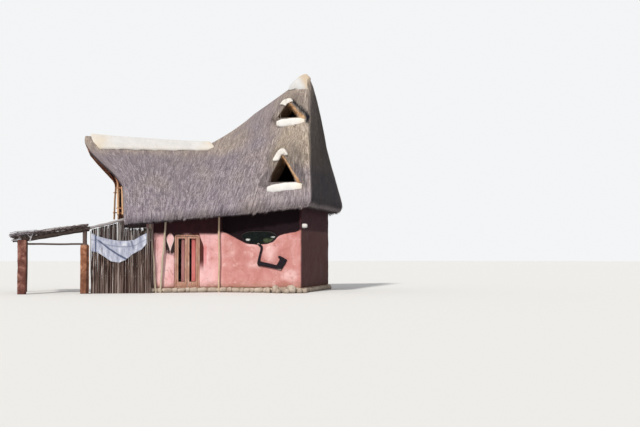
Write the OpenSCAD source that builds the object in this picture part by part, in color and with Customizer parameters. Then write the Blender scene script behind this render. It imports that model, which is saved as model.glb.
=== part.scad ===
// Thatched cob hut: a low wing whose ridge sweeps up into a peaked tower end, with two
// triangular roof openings, a glazed double door, a boat-shaped window and a brush porch.
// Millimetres, +Z up, the front faces -Y, and the origin lies under the middle of the whole.

/* [Plan] */
// Length of the wing's front wall
wing_len = 2420; // [2300:20:3200]
// Length of the tower's front wall
tower_len = 3100; // [2800:50:3700]
// Angle by which the tower end turns forward from the wing
bend = 28; // [22:1:34]
// Depth of the house over its walls
house_depth = 4200; // [3800:50:5000]
// Thickness of the cob walls
wall_t = 300; // [240:10:360]
// Height of the stone plinth
plinth_h = 180; // [120:10:260]
// Width by which the plinth stands out from the walls
plinth_out = 60; // [30:5:120]

/* [Roof] */
// Thickness of the thatch, square to its slope
thatch_t = 280; // [200:10:320]
// Reach of the eaves past the front and back walls
eave_over = 550; // [450:10:650]
// Reach of the roof past the tower's end wall
hip_over = 500; // [400:10:600]
// Reach of the eave past the gable wall
verge_eave = 1030; // [900:10:1200]
// Reach of the ridge tip past the gable wall
verge_tip = 2400; // [1900:20:2600]
// Height of the eave's outer edge at the verge
eave_z_wing = 2590; // [2450:10:2800]
// Height of the eave's outer edge at the tower's corner
eave_z_tower = 3200; // [3000:10:3500]
// Height of the ridge at its left tip
tip_z = 5880; // [5600:20:6200]
// Height of the ridge where the sweep to the peak begins
saddle_z = 5700; // [5300:20:5900]
// Height of the peak
peak_z = 8260; // [7400:20:8800]
// Distance of the peak inside the tower's end wall
peak_inset = 360; // [300:10:600]
// Outward swell of the hip end
hip_swell = 260; // [0:10:300]
// Thickness of the cement caps on the ridge and the peak
cap_t = 70; // [40:5:90]
// Width of the ridge cap at its left end, as a share of the slope
cap_share = 0.16; // [0.1:0.005:0.18]
// Width of the ridge cap at its right end, as a share of the slope
cap_narrow = 0.11; // [0.08:0.005:0.16]
// Height of the peak cap below the peak
peak_cap_h = 560; // [400:10:700]

/* [Dormers] */
// Lower opening: place along the tower's front from the bend
low_along = 2450; // [2200:10:2600]
// Lower opening: height of its sill
low_z = 4000; // [3850:10:4200]
// Lower opening: width at the sill
low_w = 1160; // [900:10:1200]
// Lower opening: height to its apex
low_h = 980; // [800:10:1050]
// Upper opening: place along the tower's front from the bend
up_along = 2280; // [2150:10:2350]
// Upper opening: height of its sill
up_z = 6540; // [6400:10:6650]
// Upper opening: width at the sill
up_w = 940; // [700:10:960]
// Upper opening: height to its apex
up_h = 600; // [500:10:650]
// Thatch round an opening, square to its side
hood_t = 150; // [100:5:200]
// Depth of the cement sill roll
sill_h = 270; // [200:10:320]

/* [Door] */
// Distance of the doorway's left side from the bend
door_from_bend = 1650; // [1450:10:1800]
// Width of the doorway
door_w = 910; // [850:10:1100]
// Height of the doorway above the plinth
door_h = 1925; // [1850:5:2100]
// Width of the frame's jambs and head
jamb_w = 55; // [45:5:80]
// Width of the stiles and rails of a leaf
stile_w = 75; // [60:5:100]
// Thickness of a leaf
leaf_t = 40; // [34:1:50]
// Gap all round a closed leaf
leaf_gap = 6; // [5:0.5:9]
// Gap between the two closed leaves
meet_gap = 14; // [12:1:20]
// Radius of a hinge knuckle
knuckle_r = 10; // [8:0.5:11]
// Radius of a hinge pin
pin_r = 5; // [4:0.5:6]

/* [Window] */
// Distance of the window's middle from the bend
win_along = 1430; // [1300:10:1600]
// Height of the line between the window's two ends
win_z = 2080; // [1950:10:2150]
// Width of the boat-shaped window
win_w = 1400; // [1100:10:1500]
// Depth of its curved bottom
win_belly = 320; // [250:10:380]
// Rise of its flat arched top
win_rise = 170; // [60:5:200]
// Depth by which the wall is set back round the window, above a sagging ledge
niche_deep = 160; // [60:10:180]
// Height of the ledge at the two ends of the wall
niche_z = 2230; // [2100:10:2350]
// Height of the ledge at its lowest place
niche_low = 1750; // [1650:10:1850]
// Thickness of the panes
pane_t = 8; // [4:1:12]

/* [Porch] */
// Distance of the porch's left end from the bend
porch_end = 7280; // [7000:20:8000]
// Distance of the porch's inner pillar from the bend
porch_inner = 4830; // [4700:10:5100]
// Depth of the porch
porch_depth = 2300; // [1800:50:2800]
// Top of the front beam at the porch's left end
beam_z_left = 1930; // [1750:10:2050]
// Top of the front beam at the inner pillar
beam_z_inner = 2360; // [2200:10:2450]
// Radius of the beams
beam_r = 65; // [50:5:85]
// Width of the plastered pillars
pillar_w = 300; // [260:10:400]
// Height of the plastered part of the inner pillar
pillar_h = 1720; // [1400:20:1800]
// Radius of the upright sticks of the screen
stick_r = 17; // [10:1:22]

/* [Hidden] */
$fn = 48;

cob = [0.78, 0.38, 0.33];
thatch = [0.50, 0.45, 0.43];
cement = [0.90, 0.85, 0.75];
timber = [0.55, 0.38, 0.26];
pale_wood = [0.72, 0.64, 0.52];
stone = [0.68, 0.60, 0.48];
glass = [0.12, 0.20, 0.18];
cloth = [0.85, 0.86, 0.92];

// Directions in plan: along the tower's front, out of it, and out of the bend's corner
tower_dir = [cos(bend), -sin(bend)];
tower_out = [-sin(bend), -cos(bend)];
bend_out = [-sin(bend / 2), -cos(bend / 2)];
function at_bend(out) = bend_out * out / cos(bend / 2);
function at_tower(along, out) = along * tower_dir + out * tower_out;
function mix(a, b, k) = a + (b - a) * k;
function up(p, z) = [p[0], p[1], z];

// The slopes' pitches, and the shift of the thatch's inner face from its outer one
slope_run = house_depth / 2 + eave_over;
wing_pitch = atan((saddle_z - eave_z_wing) / slope_run);
tower_pitch = atan((peak_z - eave_z_tower) / slope_run);
hip_pitch = atan((peak_z - eave_z_tower) / (hip_over + peak_inset));
wing_in = thatch_t * sin(wing_pitch);
tower_in = thatch_t * sin(tower_pitch);
hip_in = thatch_t / sin(hip_pitch);
peak_drop = thatch_t / cos(tower_pitch);
peak_left = (thatch_t - peak_drop * cos(hip_pitch)) / sin(hip_pitch);

// A path with one rounded corner, from p0 past pc to p1, at share s of its way
function round_path(p0, pc, p1, soft, s) =
    let (l0 = norm(p0 - pc), l1 = norm(p1 - pc),
         sa = l0 * (1 - soft) / (l0 + l1), sb = (l0 + l1 * soft) / (l0 + l1),
         a = mix(pc, p0, soft), b = mix(pc, p1, soft), q = (s - sa) / (sb - sa))
    s <= sa ? mix(p0, a, s / sa)
    : s >= sb ? mix(b, p1, (s - sb) / (1 - sb))
    : a * pow(1 - q, 2) + pc * 2 * q * (1 - q) + b * q * q;

// Layer k of the thatch: 0 is its outer face, 1 its inner face and under 0 the caps on it
verge_x = -wing_len - verge_eave;
ridge_turn = at_bend(-house_depth / 2);
function wing_out(k) = eave_over - wing_in * k;
function tower_over(k) = eave_over - tower_in * k;
function middle_over(k) = (wing_out(k) + tower_over(k)) / 2;
function corner_along(k) = tower_len + hip_over - hip_in * k;
function peak_at(k) = at_tower(tower_len - peak_inset - peak_left * k, -house_depth / 2);
function front_eave(u, k) = round_path([verge_x, -wing_out(k)], at_bend(middle_over(k)),
    at_tower(corner_along(k), tower_over(k)), 0.55, u);
function back_eave(u, k) = round_path([verge_x, house_depth + wing_out(k)],
    at_bend(-house_depth - middle_over(k)),
    at_tower(corner_along(k), -house_depth - tower_over(k)), 0.3, u);
saddle_s = 0.53;
function ridge_share(u) = 1 - pow(1 - u, 2.1);
function rise_share(s) = max(0, (s - saddle_s) / (1 - saddle_s));
function ridge_z(s, k) =
    let (q = rise_share(s), low = s / saddle_s)
    (q > 0 ? mix(saddle_z, peak_z, 0.9 * q + 0.1 * q * q)
        : mix(tip_z, saddle_z, 1 - pow(1 - low, 1.6)))
    - mix(thatch_t / cos(wing_pitch), peak_drop, q) * k;
function ridge_at(u, k) =
    let (s = ridge_share(u))
    up(round_path([-wing_len - verge_tip, house_depth / 2], ridge_turn, peak_at(k), 0.35, s),
        ridge_z(s, k));
function eave_drop(u, k) = mix(cos(wing_pitch), cos(tower_pitch), u) * thatch_t * k;
function eave_z(u, k) = mix(eave_z_wing, eave_z_tower, u) - eave_drop(u, k);
function eave_at(side, u, k) =
    up(side == "front" ? front_eave(u, k) : back_eave(u, k), eave_z(u, k));
// The roof's left edge leans in from the tip, and from this share of the slope it drops plumb
verge_plumb = 0.72;
function smooth_step(q) = let (s = max(0, min(1, q))) s * s * (3 - 2 * s);
function verge_ease(u, v) = mix(v, smooth_step(v / verge_plumb), max(0, 1 - u / 0.3));
function slope_at(side, u, v, k) =
    let (r = ridge_at(u, k), e = eave_at(side, u, k))
    [mix(r[0], e[0], verge_ease(u, v)), mix(r[1], e[1], v), mix(r[2], e[2], v)];
// The hip end, w running from the front hip to the back hip
function hip_at(w, v, k) =
    let (swell = hip_swell * sin(180 * w) * sin(180 * pow(v, 0.6)),
         p = ridge_at(1, k), e = mix(eave_at("front", 1, k), eave_at("back", 1, k), w))
    mix(p, e, v) + up(tower_dir * swell, 0);

// Stations of the roof's grid, down the slope and along the ridge. Station 1 lies close to
// the verge, where the ridge cap ends, and the others are spaced evenly.
cols = 25;
rows = 7;
hip_cols = 8;
cap_first = 1;
cap_last = 8;
tower_first = 9;
peak_first = 18;
cap_end = 0.0094;
function col_u(i) = i < 2 ? i * cap_end : (i - 1) / (cols - 1);
peak_cap_z = peak_z - peak_cap_h;
function level_share(u, z) =
    let (rz = ridge_at(u, 0)[2])
    (rz - z) / (rz - eave_z(u, 0));
function ridge_row(u) = u < col_u(tower_first) ? mix(cap_share, cap_narrow, u / col_u(cap_last)) : 0.02;
function first_row(u) = max(ridge_row(u), level_share(u, peak_cap_z));
function row_share(u, j) = j == 0 ? 0 : mix(first_row(u), 1, (j - 1) / (rows - 1));
function slope_point(side, i, j, k) =
    let (u = col_u(i))
    slope_at(side, u, row_share(u, j), k);
function hip_point(i, j, k) = hip_at(i / hip_cols, row_share(1, j), k);

// A closed shell between two grids of points. Row 0 may shrink to a single point.
module shell(over, under, inside_out = false) {
    m = len(over);
    n = len(over[0]);
    tip = norm(over[0][0] - over[1][0]) < 0.01;
    function id(i, j, side) = side * m * n + (tip && j == 0 ? 0 : i) * n + j;
    function quad(a, b, c, d) = [[a, b, c], [a, c, d]];
    first = [for (i = [0:m - 2]) for (j = [0:n - 2]) for (side = [0, 1])
        let (q = [id(i, j, side), id(i, j + 1, side), id(i + 1, j + 1, side), id(i + 1, j, side)])
        for (f = side == 0 ? quad(q[0], q[1], q[2], q[3]) : quad(q[0], q[3], q[2], q[1])) f];
    low = [for (i = [0:m - 2]) for (f = quad(id(i, n - 1, 0), id(i, n - 1, 1),
        id(i + 1, n - 1, 1), id(i + 1, n - 1, 0))) f];
    top = tip ? [] : [for (i = [0:m - 2]) for (f = quad(id(i + 1, 0, 0), id(i + 1, 0, 1),
        id(i, 0, 1), id(i, 0, 0))) f];
    ends = [for (j = [0:n - 2]) for (f = concat(
        quad(id(0, j + 1, 0), id(0, j, 0), id(0, j, 1), id(0, j + 1, 1)),
        quad(id(m - 1, j + 1, 0), id(m - 1, j + 1, 1), id(m - 1, j, 1), id(m - 1, j, 0)))) f];
    every = [for (f = concat(first, low, top, ends))
        if (f[0] != f[1] && f[1] != f[2] && f[0] != f[2]) f];
    polyhedron(points = concat([for (c = over) each c], [for (c = under) each c]),
        faces = [for (f = every) inside_out ? [f[2], f[1], f[0]] : f]);
}
function slope_grid(side, i0, i1, j0, j1, k) =
    [for (i = [i0:i1]) [for (j = [j0:j1]) slope_point(side, i, j, k)]];
function hip_grid(j0, j1, k) = [for (i = [0:hip_cols]) [for (j = [j0:j1]) hip_point(i, j, k)]];
function dropped(grid, z) = [for (c = grid) [for (p = c) [p[0], p[1], z]]];
module slope_shell(side, i0, i1, j0, j1, k0, k1)
    shell(slope_grid(side, i0, i1, j0, j1, k0), slope_grid(side, i0, i1, j0, j1, k1),
        inside_out = side == "front");
module hip_shell(j0, j1, k0, k1)
    shell(hip_grid(j0, j1, k0), hip_grid(j0, j1, k1), inside_out = true);

// All that lies below the thatch's inner face, for cutting walls and posts to the roof
module below_slope(side, i0, i1, k, z = -100) {
    top = slope_grid(side, i0, i1, 0, rows, k);
    shell(top, dropped(top, z), inside_out = side == "front");
}
module below_hip(k = 1, z = -100) {
    top = hip_grid(0, rows, k);
    shell(top, dropped(top, z), inside_out = true);
}
module under_front(i0 = 0, i1 = cols) intersection() {
    children();
    below_slope("front", i0, i1, 1);
}
module under_back(i0 = 0, i1 = cols) intersection() {
    children();
    below_slope("back", i0, i1, 1);
}
module under_hip() intersection() {
    children();
    below_hip();
}

// The whole plan is shifted so that the middle of its box is at the origin
far_corner = back_eave(1, 0);
near_corner = front_eave(1, 0);
origin_x = (far_corner[0] - porch_end) / 2;
origin_y = (house_depth + eave_over + near_corner[1]) / 2;
module placed() translate([-origin_x, -origin_y, 0]) children();
module on_tower(along, out, z) translate(up(at_tower(along, out), z)) rotate([0, 0, -bend])
    children();
// Turns a profile drawn in X and Z so that it runs inward, along +Y
module inward(y0, y1) translate([0, y1, 0]) rotate([90, 0, 0]) linear_extrude(y1 - y0) children();

// Plinth and walls
wall_top = 4300;
back_bend = at_bend(-house_depth);
back_bend_in = at_bend(-house_depth + wall_t);
front_bend_in = at_bend(-wall_t);
// How far a cutting body reaches past a face, and the fit between two touching pieces
cut = 50;
fit = 0.3;
module wall_prism(points, top = wall_top) translate([0, 0, plinth_h])
    linear_extrude(top - plinth_h) polygon(points);

module stone_plinth() color(stone) placed() linear_extrude(plinth_h) polygon([
    [-wing_len - plinth_out, -plinth_out],
    at_bend(plinth_out),
    at_tower(tower_len + plinth_out, plinth_out),
    at_tower(tower_len + plinth_out, -house_depth - plinth_out),
    at_bend(-house_depth - plinth_out),
    [-wing_len - plinth_out, house_depth + plinth_out]]);

door_left = -door_from_bend;
door_right = door_left + door_w;
door_top = plinth_h + door_h;
module front_wall_left() color(cob) placed() under_front(0, 13)
    wall_prism([[-wing_len, 0], [door_left, 0], [door_left, wall_t], [-wing_len, wall_t]]);
module front_wall_over_door() color(cob) placed() under_front(3, 15)
    translate([0, 0, door_top - plinth_h])
        wall_prism([[door_left, 0], [door_right, 0], [door_right, wall_t], [door_left, wall_t]]);
module front_wall_right() color(cob) placed() under_front(5, 19)
    wall_prism([[door_right, 0], [0, 0], front_bend_in, [door_right, wall_t]]);

module boat_profile() {
    steps = 14;
    function bow(s) = 1 - pow(abs(s) / steps, 4);
    polygon([for (s = [-steps:steps]) [win_w / 2 * s / steps, -win_belly * bow(s)],
        for (s = [steps - 1:-1:1 - steps]) [win_w / 2 * s / steps, win_rise * bow(s)]]);
}
// The ledge sags below the window. Each pair is a share of the way from the window's
// middle to an end of the wall, and a share of the rise from the lowest place.
niche_edge = 60;
ledge = [[-1, 1], [-0.86, 0.84], [-0.665, 0.577], [-0.485, 0.298], [-0.352, 0.125], [-0.2, 0.036],
    [0, 0], [0.2, 0.03], [0.362, 0.178], [0.426, 0.385], [0.483, 0.616], [0.593, 0.75],
    [0.739, 0.846], [1, 1]];
module niche_profile() {
    start = niche_edge;
    end = tower_len - niche_edge;
    polygon(concat([for (s = ledge)
            [win_along + s[0] * (s[0] < 0 ? win_along - start : end - win_along),
             mix(niche_low, niche_z, s[1])]],
        [[end, wall_top], [start, wall_top]]));
}
module tower_front_wall() color(cob) placed() difference() {
    under_front(7, cols)
        wall_prism([[0, 0], at_tower(tower_len, 0), at_tower(tower_len - wall_t, -wall_t),
            front_bend_in]);
    on_tower(win_along, 0, win_z) inward(-cut, wall_t + cut) boat_profile();
    on_tower(0, 0, 0) inward(-cut, niche_deep) niche_profile();
    lower_way();
}
module right_wall_block() wall_prism([at_tower(tower_len, 0), at_tower(tower_len, -house_depth),
    at_tower(tower_len - wall_t, -house_depth + wall_t),
    at_tower(tower_len - wall_t, -wall_t)], top = 6200);
module right_wall() color(cob) placed() difference() {
    union() {
        under_front(13, cols) right_wall_block();
        under_hip() right_wall_block();
        under_back(13, cols) right_wall_block();
    }
    lower_way();
}
module tower_back_wall() color(cob) placed() under_back(7, cols)
    wall_prism([back_bend, back_bend_in, at_tower(tower_len - wall_t, -house_depth + wall_t),
        at_tower(tower_len, -house_depth)]);
module wing_back_wall() color(cob) placed() under_back(0, 19)
    wall_prism([[-wing_len, house_depth - wall_t], back_bend_in, back_bend,
        [-wing_len, house_depth]]);
module gable_wall_block() wall_prism([[-wing_len, wall_t], [-wing_len + wall_t, wall_t],
    [-wing_len + wall_t, house_depth - wall_t], [-wing_len, house_depth - wall_t]], top = 6000);
module gable_wall() color(cob) placed() {
    under_front(0, 11) gable_wall_block();
    under_back(0, 11) gable_wall_block();
}

// A dark crooked branch fixed flat on the wall below the window. Its points are given
// from the window's middle and the ledge's lowest place.
branch_t = 70;
branch = [[10, 30], [70, 60], [220, -60], [220, -140], [140, -490], [130, -610], [350, -660],
    [760, -750], [880, -540], [800, -450], [860, -410], [1000, -470], [1150, -560], [1060, -730],
    [920, -930], [510, -840], [50, -770], [20, -670], [80, -420], [140, -200], [150, -110]];
module wall_branch() color(timber) placed() on_tower(win_along, 0, niche_low)
    inward(-branch_t - fit, -fit) polygon(branch);

pane_in = niche_deep + 50;
module window_pane() color(glass) placed() on_tower(win_along, 0, win_z)
    inward(pane_in, pane_in + pane_t) boat_profile();

// The double door. Its frame is set back in the wall, and the leaves swing inward.
frame_y = 40;
frame_deep = 110;
frame_z = plinth_h;
threshold_h = 40;
leaf_y = frame_y + 20;
leaf_low = frame_z + threshold_h + 8;
leaf_high = door_top - jamb_w - leaf_gap;
leaf_h = leaf_high - leaf_low;
leaf_w = (door_w - 2 * jamb_w - 2 * leaf_gap - meet_gap) / 2;
axis_off = 16;
axis_y = leaf_y + leaf_t + axis_off;
axis_x = door_left + jamb_w + axis_off;
knuckle_h = 45;
hinge_zs = [leaf_low + 250, leaf_high - 250];
strap_t = 4;
module door_frame() color(timber) placed() {
    difference() {
        translate([door_left, frame_y, frame_z]) cube([door_w, frame_deep, door_h]);
        translate([door_left + jamb_w, frame_y - 1, frame_z + threshold_h])
            cube([door_w - 2 * jamb_w, frame_deep + 2, door_h - jamb_w - threshold_h]);
    }
    for (side = [0, 1]) for (z = hinge_zs) half_hinge(side, z);
}
// The lower knuckle is fixed to the jamb and carries the pin for the leaf's knuckle
module half_hinge(side, z) translate([side == 0 ? axis_x : door_left + door_right - axis_x, axis_y, z]) {
    reach = side == 0 ? -axis_off : 0;
    cylinder(r = knuckle_r, h = knuckle_h);
    cylinder(r = pin_r, h = 2 * knuckle_h - 4);
    translate([reach, -strap_t / 2, 0]) cube([axis_off, strap_t, knuckle_h]);
}
module mirrored_leaf() translate([door_left + door_right, 0, 0]) mirror([1, 0, 0]) children();
module leaf() {
    x0 = door_left + jamb_w + leaf_gap;
    difference() {
        translate([x0, leaf_y, leaf_low]) cube([leaf_w, leaf_t, leaf_h]);
        translate([x0 + stile_w, leaf_y - 1, leaf_low + 2.2 * stile_w])
            cube([leaf_w - 2 * stile_w, leaf_t + 2, leaf_h - 3.2 * stile_w]);
    }
    for (z = hinge_zs) translate([axis_x, axis_y, z + knuckle_h + fit]) {
        difference() {
            union() {
                cylinder(r = knuckle_r, h = knuckle_h);
                translate([-strap_t / 2, -axis_off, 0]) cube([strap_t, axis_off, knuckle_h]);
            }
            translate([0, 0, -1]) cylinder(r = pin_r + fit, h = knuckle_h + 2);
        }
    }
}
module leaf_pane() translate([door_left + jamb_w + leaf_gap + stile_w, leaf_y + leaf_t / 2 - pane_t / 2,
    leaf_low + 2.2 * stile_w]) cube([leaf_w - 2 * stile_w, pane_t, leaf_h - 3.2 * stile_w]);
module door_leaf_left() color(timber) placed() leaf();
module door_leaf_right() color(timber) placed() mirrored_leaf() leaf();
module door_pane_left() color(glass) placed() leaf_pane();
module door_pane_right() color(glass) placed() mirrored_leaf() leaf_pane();

// The loft over the tower end: round joists between the walls, and boards on them
loft_z = 2860;
joist_r = 60;
board_t = 40;
loft_start = 300;
module loft_joists() color(timber) placed() for (a = [450:600:tower_len - wall_t - 150])
    on_tower(a, -wall_t - fit, loft_z - joist_r) rotate([-90, 0, 0])
        cylinder(r = joist_r, h = house_depth - 2 * (wall_t + fit));
module loft_floor() color(pale_wood) placed() translate([0, 0, loft_z])
    linear_extrude(board_t) polygon([
        at_tower(loft_start, -wall_t), at_tower(tower_len - wall_t, -wall_t),
        at_tower(tower_len - wall_t, -house_depth + wall_t),
        at_tower(loft_start, -house_depth + wall_t)]);

// Thatch
module thatch_wing_front() color(thatch) placed() slope_shell("front", 0, tower_first, 0, rows, 0, 1);
module thatch_wing_back() color(thatch) placed() slope_shell("back", 0, tower_first, 0, rows, 0, 1);
module thatch_tower_back() color(thatch) placed() slope_shell("back", tower_first, cols, 0, rows, 0, 1);
module thatch_hip() color(thatch) placed() hip_shell(0, rows, 0, 1);
module thatch_tower_front() color(thatch) placed() difference() {
    slope_shell("front", tower_first, cols, 0, rows, 0, 1);
    lower_way();
    upper_way();
}
cap_k = -cap_t / thatch_t;
module ridge_cap() color(cement) placed() for (side = ["front", "back"])
    slope_shell(side, cap_first, cap_last, 0, 1, cap_k, 0);
// The peak cap, cut off level for a blunt top
cap_blunt = 70;
module peak_cap() color(cement) placed() difference() {
    union() {
        slope_shell("front", peak_first, cols, 0, 1, cap_k, 0);
        slope_shell("back", peak_first, cols, 0, 1, cap_k, 0);
        hip_shell(0, 1, cap_k, 0);
    }
    translate(up(peak_at(0), peak_z + cap_blunt)) translate([-500, -500, 0]) cube(1000);
}

// Triangular openings in the tower's front slope. Y runs inward from the sill's outer edge,
// which lies on the thatch: a search along the slope finds the depth of its face there.
function along_of(p) = p[0] * tower_dir[0] + p[1] * tower_dir[1];
function depth_of(p) = -p[0] * tower_out[0] - p[1] * tower_out[1];
function at_height(u, z) = slope_at("front", u, level_share(u, z), 0);
function roof_depth(along, z, a = 0.4, b = 1, n = 16) =
    let (m = (a + b) / 2, p = at_height(m, z))
    n == 0 ? depth_of(p) : along_of(p) < along ? roof_depth(along, z, m, b, n - 1)
        : roof_depth(along, z, a, m, n - 1);
module on_roof(along, z) on_tower(along, -roof_depth(along, z), z) children();
module at_lower() on_roof(low_along, low_z) children();
module at_upper() on_roof(up_along, up_z) children();
// The outline of an opening: a triangle with a blunt tip
tip_half = 0.06;
module opening(w, h) polygon([[-w / 2, 0], [w / 2, 0], [w * tip_half, h * (1 - tip_half)], [0, h],
    [-w * tip_half, h * (1 - tip_half)]]);
module lower_way() at_lower() inward(-way_out, way_in) opening(low_w, low_h);
module upper_way() at_upper() inward(-way_out, way_in) opening(up_w, up_h);
way_out = 900;
way_in = 1500;
// The hood's outline: straight sides and a rounded crown
crown_share = 1.2;
module hood_profile(w, h, t) {
    lean = atan(2 * h / w);
    r = t * crown_share;
    polygon([[-w / 2 - t / sin(lean), 0], [w / 2 + t / sin(lean), 0],
        for (a = [90 - lean:lean / 4:90.01 + lean])
            [r * cos(a), h + (t - r) / cos(lean) + r * sin(a)]]);
}
hood_front = -120;
hood_deep = 760;
hood_cap_t = 45;
hood_cap_out = 60;
hood_cap_deep = 220;
hood_cap_from = 0.8;
module roof_body() {
    below_slope("front", 13, cols, 0, z = 2500);
    below_hip(0, z = 2500);
}
module hood(w, h) difference() {
    inward(hood_front, hood_deep) hood_profile(w, h, hood_t);
    inward(-way_out, way_in) opening(w, h);
}
module hood_cap(w, h) difference() {
    intersection() {
        inward(hood_front - hood_cap_out, hood_cap_deep) hood_profile(w, h, hood_t + hood_cap_t);
        translate([-w, -way_out, h * hood_cap_from]) cube([2 * w, way_out + way_in, 2 * h]);
    }
    inward(-way_out, way_in) opening(w, h);
    inward(hood_front, way_in) hood_profile(w, h, hood_t);
}
// Plaster on the sides of an opening, which narrows inward to a smaller triangle
lining_t = 35;
lining_deep = 420;
module lining(w, h, narrow) difference() {
    inward(hood_front, lining_deep) opening(w, h);
    y0 = hood_front - 1;
    y1 = lining_deep + 1;
    a = w / 2 - lining_t;
    b = w / 2 * narrow;
    polyhedron(points = [[-a, y0, -1], [a, y0, -1], [0, y0, h - 1.7 * lining_t],
            [-b, y1, -1], [b, y1, -1], [0, y1, h * narrow * 1.1]],
        faces = [[2, 1, 0], [3, 4, 5], [4, 3, 0], [1, 4, 0], [5, 4, 1], [2, 5, 1], [3, 5, 2], [0, 3, 2]]);
}
module sill(w) difference() {
    translate([-w / 2 - 40, -30, -sill_h / 2]) rotate([0, 90, 0])
        linear_extrude(w + 80) polygon([for (a = [0:15:345])
            [sill_h / 2 * sign(cos(a)) * pow(abs(cos(a)), 0.6),
             -40 + 130 * sign(sin(a)) * pow(abs(sin(a)), 0.6)]]);
    inward(-way_out, way_in) translate([0, 0.5]) opening(w, w);
}
module lower_hood() color(thatch) placed() difference() {
    at_lower() hood(low_w, low_h);
    roof_body();
}
module lower_hood_cap() color(cement) placed() difference() {
    at_lower() hood_cap(low_w, low_h);
    roof_body();
}
module lower_lining() color(timber) placed() difference() {
    at_lower() lining(low_w, low_h, 0.62);
    hip_shell(0, rows, 0, 1);
}
module lower_sill() color(cement) placed() difference() {
    at_lower() sill(low_w);
    roof_body();
}
module upper_hood() color(thatch) placed() difference() {
    at_upper() hood(up_w, up_h);
    roof_body();
}
module upper_hood_cap() color(cement) placed() difference() {
    at_upper() hood_cap(up_w, up_h);
    roof_body();
}
module upper_lining() color(timber) placed() difference() {
    at_upper() lining(up_w, up_h, 0.42);
    hip_shell(0, rows, 0, 1);
}
module upper_sill() color(cement) placed() difference() {
    at_upper() sill(up_w);
    roof_body();
}

// A round pole between two points
module pole(p, q, r0, r1) {
    d = q - p;
    translate(p) rotate([0, acos(d[2] / norm(d)), atan2(d[1], d[0])])
        cylinder(r1 = r0, r2 = r1, h = norm(d));
}
// A tube with 8 sides along a list of points
module tube(points, r) {
    n = len(points);
    rings = [for (i = [0:n - 1])
        let (d = points[min(i + 1, n - 1)] - points[max(i - 1, 0)], t = d / norm(d),
             a = cross(t, [1, 0, 0]) / norm(cross(t, [1, 0, 0])), b = cross(t, a))
        [for (s = [0:7]) points[i] + r * (a * cos(45 * s) + b * sin(45 * s))]];
    polyhedron(points = [for (c = rings) each c], faces = concat(
        [[for (s = [0:7]) s]], [[for (s = [7:-1:0]) (n - 1) * 8 + s]],
        [for (i = [0:n - 2]) for (s = [0:7])
            let (a = i * 8 + s, b = i * 8 + (s + 1) % 8)
            for (f = [[a, a + 8, b + 8], [a, b + 8, b]]) f]));
}

purlin_r = 45;
purlin_shares = [0.3, 0.55, 0.8];
purlin_k = 1 + (purlin_r + 25) / thatch_t;
gable_u = 1 / 7;
// The verge poles lie below the thatch, so they follow its edge a little further in. The outer
// one stands off more toward the eave.
verge_lead = 0.12;
verge_r = 38;
verge_gap = 40;
verge_spread = 50;
verge_off = -30 - verge_r;
purlin_past = 25;
function verge_in(side, v) =
    let (p = slope_at(side, 0, v, purlin_k), edge = slope_at(side, 0, v + verge_lead, purlin_k))
    [edge[0], p[1], p[2]];
function pole_off(n, v) =
    verge_off - n * (2 * verge_r + verge_gap + verge_spread * smooth_step((v - 0.2) / 0.4));
function purlin_end(v) = pole_off(1, v) - verge_r - purlin_past;
tenon_r = 22;
tenon_from = 20;
module purlin(side, v, wider = 0) {
    over_wall = slope_at(side, gable_u, v, purlin_k);
    tip = verge_in(side, v);
    pole([-wing_len + 40, tip[1], over_wall[2]], [tip[0] - tenon_from, tip[1], tip[2]],
        purlin_r + wider, tenon_r + 4 + wider);
    translate(tip + [purlin_end(v), 0, 0]) rotate([0, 90, 0])
        cylinder(r = tenon_r + wider, h = -tenon_from - purlin_end(v));
}
module left_of_gable() intersection() {
    children();
    translate([-wing_len - 3000, -2000, 0]) cube([3000, house_depth + 4000, 9000]);
}
module gable_purlins() color(timber) placed() left_of_gable() {
    for (side = ["front", "back"]) for (v = purlin_shares) purlin(side, v);
    pole([-wing_len + 40, house_depth / 2, ridge_at(gable_u, purlin_k)[2] - 60],
        up([-wing_len - verge_tip + 260, house_depth / 2], ridge_at(0, purlin_k)[2] - 60),
        purlin_r * 1.2, purlin_r);
}
module verge_poles() color(timber) placed() for (side = ["front", "back"]) for (n = [0, 1])
    difference() {
        tube([for (v = [0.2:0.085:0.881]) verge_in(side, v) + [pole_off(n, v), 0, 0]], verge_r);
        for (v = purlin_shares) purlin(side, v, fit);
    }

// Poles under the eave along the front wall, the last one in the corner of the bend. The
// first two lean, by degrees to the right at the top.
post_r = 36;
plinth_seat = -plinth_out - post_r - fit;
post_feet = [-wing_len + 86, -wing_len + 245, -120];
post_leans = [-5, 4, 0];
module leaning_post(lean) intersection() {
    rotate([0, lean, 0]) translate([0, 0, -cut]) cylinder(r = post_r, h = wall_top);
    translate([-wall_top, -wall_top, 0]) cube(2 * wall_top);
}
module eave_posts() color(pale_wood) placed() for (i = [0:len(post_feet) - 1])
    under_front(0, 21) translate([post_feet[i], plinth_seat]) leaning_post(post_leans[i]);

module beam_end() color(pale_wood) placed() on_tower(tower_len, -150, 2420) rotate([0, 90, 0])
    cylinder(r = 80, h = 180);

// Porch: plastered pillars in front, posts behind, sloping beams, poles laid across them
porch_y = -150;
outer_x = -porch_end + 330;
inner_x = -porch_inner;
beam_ends = [-porch_end, inner_x + 170];
upright_r = 80;
back_post_r = 65;
roof_pole_r = 32;
roof_pole_count = 14;
function beam_z(x) = mix(beam_z_left, beam_z_inner, (x + porch_end) / (porch_end - porch_inner)) - beam_r;
beam_slope = atan((beam_z_inner - beam_z_left) / (porch_end - porch_inner));
module beam(y, wider = 0) pole([beam_ends[0], y, beam_z(beam_ends[0])],
    [beam_ends[1], y, beam_z(beam_ends[1])], beam_r + wider, beam_r + wider);
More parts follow.
